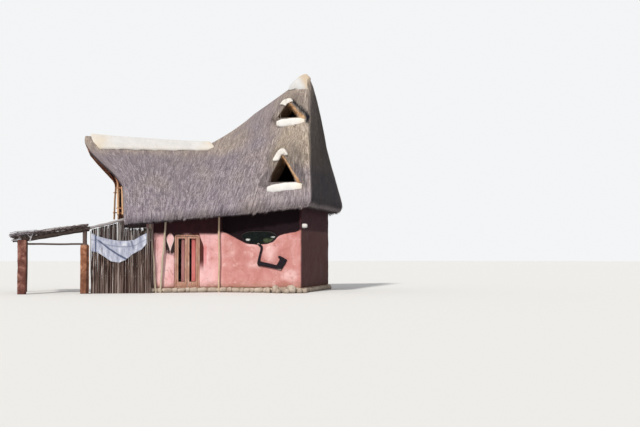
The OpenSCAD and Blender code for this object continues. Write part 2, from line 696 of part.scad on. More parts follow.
// Pillars and posts are hollowed on top to take the round beam
module under_beam(y) difference() {
    children();
    beam(y, fit);
}
module pillar(x, h) translate([x - pillar_w / 2, porch_y - pillar_w / 2, 0])
    cube([pillar_w, pillar_w, h]);
module porch_pillars() color(cob) placed() under_beam(porch_y) {
    pillar(outer_x, beam_z(outer_x) - beam_r / 2);
    pillar(inner_x, pillar_h);
    translate([inner_x, porch_y, 0]) cylinder(r = upright_r, h = beam_z(inner_x) - beam_r / 2);
}
module porch_back_posts() color(timber) placed() under_beam(porch_y + porch_depth)
    for (x = [outer_x, inner_x]) translate([x, porch_y + porch_depth, 0])
        cylinder(r = back_post_r, h = beam_z(x) - beam_r / 2);
module porch_beams() color(timber) placed() for (y = [porch_y, porch_y + porch_depth]) beam(y);
function roof_pole_z(x) = beam_z(x) + (beam_r + roof_pole_r + fit) / cos(beam_slope);
module porch_roof_poles() color(timber) placed() for (i = [0:roof_pole_count - 1]) {
    x = mix(beam_ends[0] + 60, inner_x + 60, i / (roof_pole_count - 1));
    x2 = x + 40 * sin(i * 131);
    pole([x, porch_y - 220 + 60 * sin(i * 77), roof_pole_z(x)],
        [x2, porch_y + porch_depth + 220 + 50 * sin(i * 53), roof_pole_z(x2)],
        roof_pole_r, roof_pole_r);
}
// The rail lies on the inner pillar's plaster, between its timber and the outer pillar
rail_r = 35;
module porch_rail() color(timber) placed()
    translate([outer_x + pillar_w / 2, porch_y, pillar_h + rail_r + fit]) rotate([0, 90, 0])
        cylinder(r = rail_r, h = inner_x - outer_x - pillar_w / 2 - upright_r - fit);

// The screen of upright sticks between the inner pillar and the house, tied to two rails,
// with a sloping log on top that leans from the pillar's post to the thatch's edge
screen_from = [inner_x + 230, -175];
screen_to = [-wing_len - 120, -320];
screen_run = screen_to - screen_from;
screen_turn = atan2(screen_run[1], screen_run[0]);
log_from = [inner_x, porch_y, beam_z(inner_x) - 10];
log_to = [verge_x + 30, screen_from[1] + screen_run[1] * (verge_x + 30 - screen_from[0]) / screen_run[0],
    2650];
log_r = 44;
log_slope = atan((log_to[2] - log_from[2]) / (log_to[0] - log_from[0]));
stick_count = 34;
tie_r = 16;
stick_lift = 0.2;
function log_z(x) = mix(log_from[2], log_to[2], (x - log_from[0]) / (log_to[0] - log_from[0]));
function stick_top(x, i) = x < verge_x - 20
    ? log_z(x) - log_r / cos(log_slope) - stick_r * tan(log_slope) - fit
    : 2300 + 40 * sin(i * 97);
module stick_screen() color(timber) placed() {
    for (i = [0:stick_count - 1]) {
        foot = mix(screen_from, screen_to, i / (stick_count - 1));
        lean = 14 * sin(i * 71) * [cos(screen_turn), sin(screen_turn)];
        h = stick_top(foot[0] + lean[0], i);
        pole(up(foot, stick_lift), up(foot + lean, h), stick_r, stick_r);
    }
    for (z = [620, 1900]) translate(up(screen_from, z)) rotate([0, 0, screen_turn])
        translate([-20, stick_r + tie_r + fit, 0]) rotate([0, 90, 0])
            cylinder(r = tie_r, h = norm(screen_run) + 40);
}
module screen_log() color(pale_wood) placed() difference() {
    pole(log_from, log_to, log_r, log_r);
    translate([inner_x, porch_y, 0]) cylinder(r = upright_r + fit, h = 4000);
    beam(porch_y, fit);
    slope_shell("front", 0, 3, 0, rows, 0, 1);
}

// The cloth hung on the screen: a plain slab with a sagging top and a rounded, uneven bottom.
// Its points are given along the screen and upward.
cloth_t = 24;
cloth_outline = [[-20, 2160], [220, 2040], [600, 1935], [920, 1880], [1230, 1875], [1475, 1905],
    [1740, 2065], [1930, 2170], [1890, 1780], [1750, 1560], [1445, 1400], [1200, 1190], [960, 1085],
    [680, 1135], [470, 1280], [225, 1440], [20, 1490]];
module hung_cloth() color(cloth) placed() translate(up(screen_from, 0)) rotate([0, 0, screen_turn])
    inward(-stick_r - cloth_t - fit, -stick_r - fit) polygon(cloth_outline);

stone_plinth();
front_wall_left();
front_wall_over_door();
front_wall_right();
tower_front_wall();
right_wall();
tower_back_wall();
wing_back_wall();
gable_wall();
wall_branch();
window_pane();
door_frame();
door_leaf_left();
door_leaf_right();
door_pane_left();
door_pane_right();
loft_joists();
loft_floor();
thatch_wing_front();
thatch_tower_front();
thatch_hip();
thatch_tower_back();
thatch_wing_back();
ridge_cap();
peak_cap();
lower_hood();
lower_hood_cap();
lower_lining();
lower_sill();
upper_hood();
upper_hood_cap();
upper_lining();
upper_sill();
gable_purlins();
verge_poles();
eave_posts();
beam_end();
porch_pillars();
porch_back_posts();
porch_beams();
porch_roof_poles();
porch_rail();
stick_screen();
screen_log();
hung_cloth();
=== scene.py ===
"""A thatched cob hut with a peaked tower end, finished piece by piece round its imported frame."""
import random
from math import cos, pi, radians, sin, tan

import bpy
import numpy as np
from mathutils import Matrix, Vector, noise


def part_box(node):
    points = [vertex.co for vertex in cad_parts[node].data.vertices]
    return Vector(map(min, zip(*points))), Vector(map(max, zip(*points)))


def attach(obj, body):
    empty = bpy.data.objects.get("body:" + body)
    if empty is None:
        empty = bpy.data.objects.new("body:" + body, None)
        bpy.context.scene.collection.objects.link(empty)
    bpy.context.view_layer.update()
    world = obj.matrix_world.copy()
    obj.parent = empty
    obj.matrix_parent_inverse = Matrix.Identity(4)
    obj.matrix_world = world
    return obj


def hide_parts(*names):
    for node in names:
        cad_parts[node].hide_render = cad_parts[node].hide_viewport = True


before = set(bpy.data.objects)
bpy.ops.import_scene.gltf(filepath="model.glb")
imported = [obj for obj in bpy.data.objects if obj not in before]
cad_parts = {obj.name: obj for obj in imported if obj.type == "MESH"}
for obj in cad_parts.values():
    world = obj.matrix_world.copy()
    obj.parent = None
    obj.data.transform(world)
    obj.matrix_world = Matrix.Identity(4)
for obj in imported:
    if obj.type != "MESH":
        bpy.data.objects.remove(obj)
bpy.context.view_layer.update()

# Stone footing
# A rammed earth floor edged with one course of field stones, bedded on their sides in mud.
# The stones are picked up nearby, so no two are the same size, and a few lie loose in front.


def choose(*objects):
    """Leaves only these objects selected, with the last one active."""
    bpy.ops.object.select_all(action="DESELECT")
    for obj in objects:
        obj.select_set(True)
    bpy.context.view_layer.objects.active = objects[-1]


def modify(obj, kind, **settings):
    """Adds a modifier to a piece and applies it."""
    choose(obj)
    modifier = obj.modifiers.new(kind, kind)
    for name, value in settings.items():
        setattr(modifier, name, value)
    bpy.ops.object.modifier_apply(modifier=modifier.name)


def edit(obj, step, select="SELECT", **settings):
    """Runs one step of edit mode on a whole piece, or on nothing chosen yet."""
    choose(obj)
    bpy.ops.object.mode_set(mode="EDIT")
    bpy.ops.mesh.select_all(action=select)
    step(**settings)
    bpy.ops.object.mode_set(mode="OBJECT")


def linked(name, mesh):
    """A new piece with this mesh."""
    made = bpy.data.objects.new(name, mesh)
    bpy.context.collection.objects.link(made)
    return made


def joined(name, parts):
    """Makes one piece of several mesh objects."""
    choose(*parts)
    if len(parts) > 1:
        bpy.ops.object.join()
    made = bpy.context.view_layer.objects.active
    made.name = made.data.name = name
    return made


def smooth(obj, angle=None):
    """Shades a piece smooth, apart from edges sharper than the angle in degrees."""
    if angle:
        choose(obj)
        bpy.ops.object.shade_smooth_by_angle(angle=radians(angle))
    else:
        for face in obj.data.polygons:
            face.use_smooth = True


def places(mesh, kind="co"):
    """The corners of a mesh, or their normals, as rows of x, y and z."""
    found = np.empty(len(mesh.vertices) * 3)
    mesh.vertices.foreach_get(kind, found)
    return found.reshape(-1, 3)


def put(mesh, where):
    """Moves the corners of a mesh to these rows of x, y and z."""
    mesh.vertices.foreach_set("co", np.ascontiguousarray(where, dtype=float).ravel())
    mesh.update()


def lumps(where, size, seed=0.0):
    """Smooth noise from -1 to 1 at each row of where, with lumps of about this size."""
    shift = Vector((seed, 2.3 * seed, -seed))
    return np.array([noise.noise(Vector(row) / size + shift) for row in where])


class Value:
    """A node's output. Its operators add the Math nodes of an expression."""

    def __init__(self, finish, socket):
        self.finish, self.socket = finish, socket

    def __add__(self, other):
        return self.finish.sum("ADD", self, other)

    def __sub__(self, other):
        return self.finish.sum("SUBTRACT", self, other)

    def __mul__(self, other):
        return self.finish.sum("MULTIPLY", self, other)

    def __abs__(self):
        return self.finish.sum("ABSOLUTE", self, 0.0)


class Finish:
    """A surface's finish, made of nodes round one shader."""

    def __init__(self, name, **shader):
        self.material = bpy.data.materials.new(name)
        self.material.use_nodes = True
        self.tree = self.material.node_tree
        self.shader = self.tree.nodes["Principled BSDF"]
        self.shader.inputs["Specular IOR Level"].default_value = 0.2
        for socket, value in shader.items():
            self.shader.inputs[socket.replace("_", " ")].default_value = value
        self.place = self.node("TexCoord", out="Object")

    def node(self, kind, settings=None, inputs=None, out=0):
        """Adds a node with its settings, then the values or links of its sockets."""
        made = self.tree.nodes.new("ShaderNode" + kind)
        for name, value in (settings or {}).items():
            setattr(made, name, value)
        for name, value in (inputs or {}).items():
            if isinstance(value, Value):
                self.tree.links.new(value.socket, made.inputs[name])
            elif isinstance(value, tuple) and made.inputs[name].type == "RGBA":
                made.inputs[name].default_value = (*value, 1)
            else:
                made.inputs[name].default_value = value
        return Value(self, made.outputs[out])

    def sum(self, operation, a, b):
        return self.node("Math", {"operation": operation}, {0: a, 1: b})

    def blend(self, share, low, high):
        """A colour between low and high."""
        return self.node("Mix", {"data_type": "RGBA"}, {0: share, 6: low, 7: high}, out=2)

    def stretched(self, x, y, z, place=None):
        """The place on the piece, scaled by x, y and z."""
        return self.node("Mapping", None, {"Vector": place or self.place, "Scale": (x, y, z)})

    def grain(self, scale, detail=4.0, rough=0.55, place=None, twist=0.0):
        """Cloudy noise from 0 to 1 with this many lumps a metre."""
        return self.node("TexNoise", None, {"Vector": place or self.place, "Scale": scale, "Detail": detail,
                                            "Roughness": rough, "Distortion": twist})

    def fibres(self, scale=10, squeeze=0.35):
        """Wood fibres along a rod, from its turn and length attributes."""
        line = self.node("CombineXYZ", None, {0: self.attribute("turn") * 0.16, 1: self.attribute("length")})
        return self.grain(scale, 6, 0.7, place=self.stretched(3, squeeze, 1, place=line), twist=0.2)

    def ramp(self, share, *stops):
        """A colour for each value of share. A stop is its position and its red, green and blue."""
        made = self.node("ValToRGB", None, {0: share})
        band = made.socket.node.color_ramp.elements
        for stop in stops[2:]:
            band.new(stop[0])
        for element, stop in zip(band, sorted(stops)):
            element.position, element.color = stop[0], (*stop[1:], 1)
        return made

    def level(self, value, low, high, to_low=0.0, to_high=1.0):
        """Maps low..high to to_low..to_high, smoothly and no further."""
        return self.node("MapRange", {"interpolation_type": "SMOOTHSTEP"},
                         {0: value, 1: low, 2: high, 3: to_low, 4: to_high})

    def meet(self, *limits):
        """The product of several levels, each a value with its low and high."""
        found = self.level(*limits[0])
        for limit in limits[1:]:
            found = found * self.level(*limit)
        return found

    def axis(self, name):
        """One coordinate of the place."""
        return self.node("SeparateXYZ", None, {0: self.place}, out=name)

    def attribute(self, name):
        return self.node("Attribute", {"attribute_name": name}, out="Fac")

    def paint(self, colour, mask=None, low=None, high=None, most=1.0):
        """Lays a colour over those so far. The mask is a value or an attribute's name. It counts
        from 0 to most, and only between low and high if they are given."""
        if isinstance(mask, str):
            mask = self.attribute(mask)
        if low is not None:
            mask = self.level(mask, low, high, 0.0, most)
        elif most != 1.0:
            mask = mask * most
        self.tone = colour if mask is None else self.blend(mask, self.tone, colour)
        self.tree.links.new(self.tone.socket, self.shader.inputs["Base Color"])

    def bump(self, height, depth):
        """Raises the surface by height, which runs from 0 to 1, times depth in metres."""
        raised = self.node("Bump", None, {"Height": height, "Distance": depth, "Strength": 1.0})
        self.tree.links.new(raised.socket, self.shader.inputs["Normal"])


def dress(obj, finish, replaces=(), body="root"):
    """Gives a piece its finish, the CAD nodes it stands for and its body."""
    obj.data.materials.clear()
    obj.data.materials.append(finish.material)
    if replaces:
        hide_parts(*replaces)
    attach(obj, body)


# The plan: the bend is where the wing's front and the tower's front meet
wing_len, tower_len, house_depth, wall_t = 2.42, 3.1, 4.2, 0.3
bend = radians(28)
wall_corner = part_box("front_wall_left")[0]
bend_place = np.array([wall_corner.x + wing_len, wall_corner.y])
tower_dir = np.array([cos(bend), -sin(bend)])
tower_out = np.array([-sin(bend), -cos(bend)])
bend_out = np.array([-sin(bend / 2), -cos(bend / 2)]) / cos(bend / 2)


def on_wing(x, y, *z):
    """A place from the bend along the wing's front, in plan or with its height."""
    return np.array([*(bend_place + [x, y]), *z])


def on_tower(along, out, *z):
    """A place from the bend along the tower's front and out of it, in plan or with its height."""
    return np.array([*(bend_place + along * tower_dir + out * tower_out), *z])


def tower_shares(where):
    """How far along the tower's front places lie, and how far out of it."""
    plan = where[..., :2] - bend_place
    return plan @ tower_dir, plan @ tower_out


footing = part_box("stone_plinth")[1].z
edge_out = 0.045
footing_line = [on_wing(-wing_len - edge_out, -edge_out), bend_place + bend_out * edge_out,
                on_tower(tower_len + edge_out, edge_out),
                on_tower(tower_len + edge_out, -house_depth - edge_out),
                bend_place - bend_out * (house_depth + edge_out),
                on_wing(-wing_len - edge_out, house_depth + edge_out)]
# The stones, boards and sticks draw from the first seed, and the sway of the poles from the other
hand = random.Random(3)
noise.seed_set(3)
bpy.ops.mesh.primitive_ico_sphere_add(subdivisions=3, radius=1)
pebble = bpy.context.object
round_shape = places(pebble.data)


def stone(centre, half, turn):
    """One field stone: a ball squared off, made uneven and set flat on the ground."""
    squareness = 0.72
    square = np.sign(round_shape) * np.abs(round_shape) ** squareness
    seed = hand.uniform(0, 90)
    uneven = 1 + 0.2 * lumps(round_shape, 0.9, seed) + 0.07 * lumps(round_shape, 0.35, seed)
    x, y, z = (square * uneven[:, None] * half).T
    turned = np.column_stack([x * cos(turn) - y * sin(turn), x * sin(turn) + y * cos(turn), z]) + centre
    turned[:, 2] = np.maximum(turned[:, 2], 0.001)
    made = linked("stone", pebble.data.copy())
    put(made.data, turned)
    return made


stones = []
for start, end in zip(footing_line, footing_line[1:] + footing_line[:1]):
    run = np.linalg.norm(end - start)
    turn = float(np.arctan2(*(end - start)[::-1]))
    at = 0.0
    while at < run:
        length = hand.uniform(0.15, 0.36)
        spot = start + (end - start) * min(at + length / 2, run) / run
        high = footing * hand.uniform(0.88, 1.02)
        stones.append(stone([*spot, high / 2], [length * 0.53, hand.uniform(0.07, 0.09), high * 0.53],
                            turn + hand.uniform(-0.1, 0.1)))
        at += length
loose_stones = ((1.9, 0.2, 0.12), (2.2, 0.24, 0.16), (2.52, 0.2, 0.13), (2.8, 0.26, 0.17),
                (3.05, 0.16, 0.12), (2.35, 0.4, 0.09), (2.68, 0.42, 0.1))
for along, out, size in loose_stones:
    stones.append(stone(on_tower(along, out, size * 0.7), [size * 1.2, size * 0.8, size], hand.uniform(0, 3)))
bpy.data.objects.remove(pebble)
footing_stones = joined("footing_stones", stones)
smooth(footing_stones)

rock = Finish("field_stone", Roughness=0.9)
speckle = rock.grain(60, 5, 0.7)
cloud = rock.grain(3, 3)
rock.paint(rock.ramp(cloud, (0.3, 0.34, 0.25, 0.19), (0.7, 0.66, 0.57, 0.47), (0.5, 0.52, 0.43, 0.35)))
rock.paint((0.24, 0.18, 0.15), speckle, 0.45, 0.75, 0.45)
rock.paint((0.16, 0.12, 0.09), rock.level(rock.axis("Z"), 0.0, 0.12, 1.0, 0.0), most=0.6)
rock.bump(speckle * 0.6 + rock.grain(14, 4) * 0.8, 0.02)
dress(footing_stones, rock)

earth = Finish("rammed_earth", Roughness=0.95)
earth.paint(earth.ramp(earth.grain(5, 6, 0.65), (0.3, 0.24, 0.16, 0.11), (0.7, 0.44, 0.31, 0.23)))
earth.bump(earth.grain(35, 5, 0.7), 0.006)
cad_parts["stone_plinth"].data.materials[0] = earth.material

# Cob walls
# Clay, sand and straw heaped up wet and pared by hand, then plastered and washed with a red
# lime colour. The wall is one piece all round, with soft corners and an uneven face.


def merged_copy(name, *nodes):
    """A copy of CAD nodes as one mesh, whose loose triangles are merged at their corners."""
    made = joined(name, [linked(name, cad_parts[node].data.copy()) for node in nodes])
    edit(made, bpy.ops.mesh.remove_doubles, threshold=0.0001)
    return made


def soften(obj, voxel, rounds):
    """Skins a piece afresh and rounds its edges, as a hand does in wet clay."""
    modify(obj, "REMESH", mode="VOXEL", voxel_size=voxel)
    modify(obj, "SMOOTH", factor=0.5, iterations=rounds)
    smooth(obj)


def swell(obj, height):
    """Moves each corner of a piece out along its normal by its height."""
    put(obj.data, places(obj.data) + places(obj.data, "normal") * np.asarray(height)[:, None])


def mark(obj, name, values):
    """Stores a number for each corner, for a finish to read."""
    layer = obj.data.attributes.new(name, "FLOAT", "POINT")
    layer.data.foreach_set("value", np.asarray(values, dtype=float))


def smooth_step(value, low, high):
    share = np.clip((value - low) / (high - low), 0, 1)
    return share * share * (3 - 2 * share)


wall_nodes = ("front_wall_left", "front_wall_over_door", "front_wall_right", "tower_front_wall",
              "right_wall", "tower_back_wall", "wing_back_wall", "gable_wall")
cob_walls = merged_copy("cob_walls", *wall_nodes)
soften(cob_walls, 0.045, 3)
spots = places(cob_walls.data)
door_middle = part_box("door_frame")[0].x + 0.45
calm = 1 - np.exp(-((spots[:, 0] - door_middle) / 0.75) ** 4 - (spots[:, 1] - bend_place[1]) ** 2)
swell(cob_walls, calm * (0.016 * lumps(spots, 0.55) + 0.006 * lumps(spots, 0.16, 5)))
spots = places(cob_walls.data)
x, y, z = spots.T
along, out = tower_shares(spots)
facing = places(cob_walls.data, "normal")
niche_z = 1.55
in_niche = (-out < 0.36) * (z > niche_z) * (along > -0.05) * (along < tower_len - 0.09)
on_gable = (1 - smooth_step(facing[:, 0], -0.9, -0.7)) * smooth_step(y - bend_place[1], 0.05, 0.12)
drift_x, drift_z = 0.13 * lumps(spots, 0.22, 41), 0.13 * lumps(spots, 0.22, 43)
scraped = np.zeros(len(spots))
scraped_spots = ((1.22, 1.73, 0.26, 0.07), (1.95, 1.42, 0.26, 0.34), (1.31, 1.0, 0.3, 0.2),
                 (2.68, 0.64, 0.35, 0.25))
for at, high, half, tall in scraped_spots:
    off = ((along + drift_x - at) / half) ** 2 + ((z + drift_z - high) / tall) ** 2
    scraped = np.maximum(scraped, np.exp(-off))
for name, values in {
        "niche": smooth_step(-out, 0.02, 0.08) * in_niche,
        "tower": smooth_step(along, -0.1, 0.25),
        "eave_shade": 1 - on_gable,
        "gable": on_gable * (x < wall_corner.x + 0.1),
        "shady": smooth_step(facing[:, :2] @ tower_dir, 0.5, 0.9) * (along > tower_len - 0.1),
        "front": smooth_step(-y + bend_place[1], -0.12, -0.06) * (x < bend_place[0] - 0.2),
        "scraped": scraped * (out > -0.1)}.items():
    mark(cob_walls, name, values)

cob = Finish("red_lime_wash", Roughness=0.92)
clouds = cob.grain(1.3, 5, 0.6, twist=0.4)
patches = cob.grain(4.5, 6, 0.62)
grit = cob.grain(120, 4, 0.6)
runs = cob.grain(2.2, 5, 0.6, place=cob.stretched(4, 4, 0.35))
height = cob.axis("Z")
wing_red = cob.ramp(clouds, (0.3, 0.70, 0.325, 0.31), (0.72, 0.92, 0.62, 0.62), (0.5, 0.85, 0.485, 0.485))
tower_red = cob.ramp(clouds, (0.3, 0.45, 0.165, 0.14), (0.72, 0.69, 0.38, 0.36), (0.5, 0.57, 0.25, 0.23))
cob.paint(cob.blend(cob.attribute("tower"), wing_red, tower_red))
cob.paint((0.90, 0.66, 0.62), patches, 0.56, 0.72, 0.45)
cob.paint((0.88, 0.60, 0.58), cob.attribute("scraped") * (patches + 0.5), 0.1, 1.15, 0.72)
cob.paint((0.48, 0.17, 0.13), patches, 0.44, 0.3, 0.4)
cob.paint((0.46, 0.20, 0.16), runs, 0.55, 0.75, 0.35)
cob.paint((0.36, 0.20, 0.13), height + patches * 0.5, 0.75, 0.3, 0.75)
crack = cob.node("TexVoronoi", {"feature": "DISTANCE_TO_EDGE"},
                 {"Vector": cob.stretched(1, 1, 0.7), "Scale": 1.7})
crack = cob.level(crack + patches * 0.03, 0.0225, 0.0135, 0.0, 0.5)
cob.paint((0.33, 0.13, 0.10), crack)
# Painted shade: the tower's right end wall is painted nearly black
cob.paint((0.04, 0.018, 0.018), "shady", most=0.88)
# Painted shade: the wall is painted nearly black on both sides of the door, round a kite of the
# old wash on the left, and in a wedge down the frame's right side that is the frame's painted shadow
front_x = cob.axis("X") - float(bend_place[0])
door_side = cob.attribute("front")
kite_half = cob.level(height, 1.50, 2.0, 0.0, 0.13) - cob.level(height, 1.98, 2.18, 0.0, 0.10)
off_kite = abs(front_x + 1.817) - kite_half
kite_rim = cob.meet((abs(off_kite), 0.024, 0.012), (height, 2.03, 1.97), (height, 1.5, 1.56))
stain = cob.meet((front_x, -1.99, -1.965), (off_kite, 0.0, 0.012), (height + patches * 0.6, 1.6, 1.82),
                 (front_x, -1.2, -1.4))
wedge_half = cob.level(height + patches * 0.1, 2.26, 1.66, 0.0, 0.16)
wedge = cob.meet((front_x + 0.763 - wedge_half, 0.012, -0.006), (height, 0.7, 1.2), (front_x, -1.2, -1.0))
red_run = cob.meet((front_x, -0.47, -0.51), (front_x, -1.2, -1.0), (height, 1.85, 1.6), (height, 0.8, 1.2))
cob.paint((0.72, 0.17, 0.18), red_run * door_side, most=0.6)
cob.paint((0.062, 0.012, 0.009), wedge * door_side, most=0.97)
cob.paint((0.020, 0.008, 0.009), stain * door_side, most=0.98)
# Painted shade: the gable wall is painted dark all over
cob.paint((0.075, 0.035, 0.030), "gable", most=0.78)
# Painted shadow: the wing's front is painted nearly black at its left end, as the stick screen's shadow
cob.paint((0.045, 0.020, 0.020), cob.level(front_x + patches * 0.06, -2.34, -2.42) * door_side, most=0.85)
cob.paint((0.86, 0.72, 0.68), kite_rim * door_side, most=0.7)
# Painted shade: the wall is painted nearly black under the eaves, down to a ragged line, and in the tower's
# recess above the window
painted_shade_tone = cob.blend(patches, (0.022, 0.008, 0.011), (0.07, 0.022, 0.027))
painted_shade_tone = cob.blend(cob.attribute("niche") * 0.85, painted_shade_tone, (0.006, 0.003, 0.005))
eave_shade_line = height - cob.attribute("tower") * 0.12 + patches * 0.14
eave_shade = cob.level(eave_shade_line, 2.15, 2.27) * cob.attribute("eave_shade")
cob.paint(painted_shade_tone, cob.sum("MAXIMUM", eave_shade, cob.attribute("niche")))
cob.bump(patches * 0.5 + grit * 0.08 - crack * 0.3 + cob.grain(17, 3) * 0.3, 0.03)
dress(cob_walls, cob, wall_nodes)

# Branch on the wall
# A dark crooked branch, thin where it hangs from the ledge and broad at its cut end. It lies
# flat on the wall, bedded in the plaster.
branch = merged_copy("wall_branch_wood", "wall_branch")
soften(branch, 0.014, 4)
spots = places(branch.data)
swell(branch, 0.004 * lumps(spots, 0.07, 2) + 0.002 * lumps(spots * [1, 1, 0.3], 0.02, 7))
z = places(branch.data)[:, 2]
mark(branch, "peeled", np.maximum(smooth_step(z, z.max() - 0.07, z.max() - 0.02),
                                  smooth_step(-z, -z.min() - 0.05, -z.min() - 0.01)))
bark = Finish("dark_bark", Roughness=0.8)
fibre = bark.grain(9, 6, 0.7, place=bark.stretched(1, 1, 5))
bark.paint(bark.ramp(fibre, (0.3, 0.004, 0.003, 0.005), (0.75, 0.020, 0.012, 0.018)))
bark.paint((0.42, 0.34, 0.30), "peeled", most=0.7)
bark.bump(fibre, 0.012)
dress(branch, bark, ("wall_branch",))

# Boat-shaped window
# A fixed pane of old glass, cut to the boat shape and bedded in a thin dark timber rim that
# is bent to the opening.
glass = Finish("old_glass", Roughness=0.22, Specular_IOR_Level=0.12)
green = glass.grain(5.5, 4, 0.6, twist=0.8)
glass.paint(glass.ramp(green, (0.35, 0.001, 0.002, 0.002), (0.72, 0.006, 0.012, 0.009)))
pane_x = (glass.axis("X") * float(tower_dir[0]) + glass.axis("Y") * float(tower_dir[1])
          - float(bend_place @ tower_dir))
# Painted reflections: a dull green patch and two pale glints are painted on the pane
painted_reflections = ((1.85, 1.88, 0.28, 0.11, (0.08, 0.10, 0.05)), (1.02, 1.93, 0.08, 0.05, (0.75, 0.76, 0.72)),
          (2.0, 2.02, 0.13, 0.03, (0.5, 0.52, 0.5)))
for at, high, half, tall, paint in painted_reflections:
    wide, up = (pane_x - at) * (1 / half), (glass.axis("Z") - high) * (1 / tall)
    glass.paint(paint, wide * wide + up * up + green * 3.2, 2.9, 1.6, 0.9)
glass.bump(glass.grain(4, 2), 0.01)
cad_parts["window_pane"].data.materials[0] = glass.material

rim = merged_copy("window_rim", "window_pane")
edit(rim, bpy.ops.mesh.select_mode, "DESELECT", type="FACE")
for face in rim.data.polygons:
    face.select = abs(face.normal.xy @ Vector(tower_out)) > 0.9
bpy.ops.object.mode_set(mode="EDIT")
bpy.ops.mesh.dissolve_limited(angle_limit=0.02)
bpy.ops.mesh.inset(thickness=0.038, depth=0)
bpy.ops.mesh.delete(type="FACE")
bpy.ops.mesh.select_mode(type="VERT")
bpy.ops.object.mode_set(mode="OBJECT")
modify(rim, "SOLIDIFY", thickness=0.022, offset=1)
wood = Finish("dark_joinery", Roughness=0.7)
fibre = wood.grain(6, 6, 0.7, place=wood.stretched(9, 9, 0.7))
wood.paint(wood.ramp(fibre, (0.3, 0.006, 0.004, 0.005), (0.75, 0.030, 0.020, 0.020)))
wood.bump(fibre, 0.004)
dress(rim, wood)

# Double door
# Worn brown joinery, mortised and pegged. Each leaf holds one tall pane, and a red cotton
# curtain hangs behind it, drawn to the right.


def mix(a, b, share):
    return a + (b - a) * share


def eased(name, node, width):
    """A CAD node's copy with its hard edges worn round."""
    made = merged_copy(name, node)
    edit(made, bpy.ops.mesh.dissolve_limited, angle_limit=0.01)
    modify(made, "BEVEL", width=width, segments=2, limit_method="ANGLE", angle_limit=radians(50))
    smooth(made, 35)
    return made


def cloth_grid(name, wide, tall):
    """A flat grid to be shaped, with each corner's shares of its width and height."""
    bpy.ops.mesh.primitive_grid_add(x_subdivisions=wide, y_subdivisions=tall, size=1)
    made = bpy.context.object
    made.name = made.data.name = name
    return made, *(places(made.data)[:, :2] + 0.5).T


joinery = Finish("worn_joinery", Roughness=0.72)
fibre = joinery.grain(5, 7, 0.7, place=joinery.stretched(14, 14, 0.8), twist=0.3)
joinery.paint(joinery.ramp(fibre, (0.28, 0.17, 0.085, 0.065), (0.72, 0.72, 0.43, 0.32),
                           (0.5, 0.47, 0.25, 0.18)))
joinery.paint((0.62, 0.46, 0.38), joinery.grain(3.5, 4), 0.5, 0.75, 0.6)
joinery.bump(fibre, 0.003)
dress(eased("door_frame_wood", "door_frame", 0.006), joinery, ("door_frame",))
red = Finish("red_cotton", Roughness=0.9)
fold = red.grain(3, 3, place=red.stretched(1, 1, 0.2))
thread = red.node("TexWave", {"bands_direction": "Z"},
                  {"Vector": red.place, "Scale": 14.0, "Distortion": 0.6, "Detail": 1.0}, out=1)
# Painted shade: the left curtain gets a duller copy of the red
bright = red.blend(fold, (0.86, 0.22, 0.21), (0.98, 0.44, 0.41))
curtain_in_shade = red.blend(fold, (0.62, 0.32, 0.31), (0.80, 0.50, 0.48))
red.paint(red.blend(red.attribute("curtain_in_shade"), bright, curtain_in_shade))
red.paint((0.50, 0.10, 0.11), thread, most=0.3)
clear = Finish("door_glass", Roughness=0.1, Alpha=0.07, Base_Color=(0.02, 0.022, 0.022, 1))
curtain_flat, curtain_gap, folds = 0.24, 0.05, 5.5
for side, drawn_to in (("left", 0.5), ("right", 0.38)):
    body, leaf, pane = "door_" + side, "door_leaf_" + side, "door_pane_" + side
    dress(eased(leaf + "_wood", leaf, 0.005), joinery, (leaf,), body)
    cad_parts[pane].data.materials[0] = clear.material
    low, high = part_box(pane)
    tall = high.z - low.z - 0.02
    curtain, wide, up = cloth_grid("curtain_" + side, 60, 40)
    wave = 0.013 * np.sin(wide * 2 * pi * folds) * (0.75 + 0.25 * np.cos(up * 5 + 1))
    put(curtain.data, np.column_stack([low.x + (high.x - low.x) * mix(drawn_to, 0.98, wide),
                                       high.y + curtain_gap + wave, low.z + 0.01 + up * tall]))
    smooth(curtain)
    mark(curtain, "curtain_in_shade", np.full(len(wide), float(side == "left")))
    dress(curtain, red, (), body)
    leaf + "_wood"

# Loft
# Peeled gum poles, no two straight, lie across the tower end from wall to wall. Sawn boards
# nailed down over them make the loft's floor.


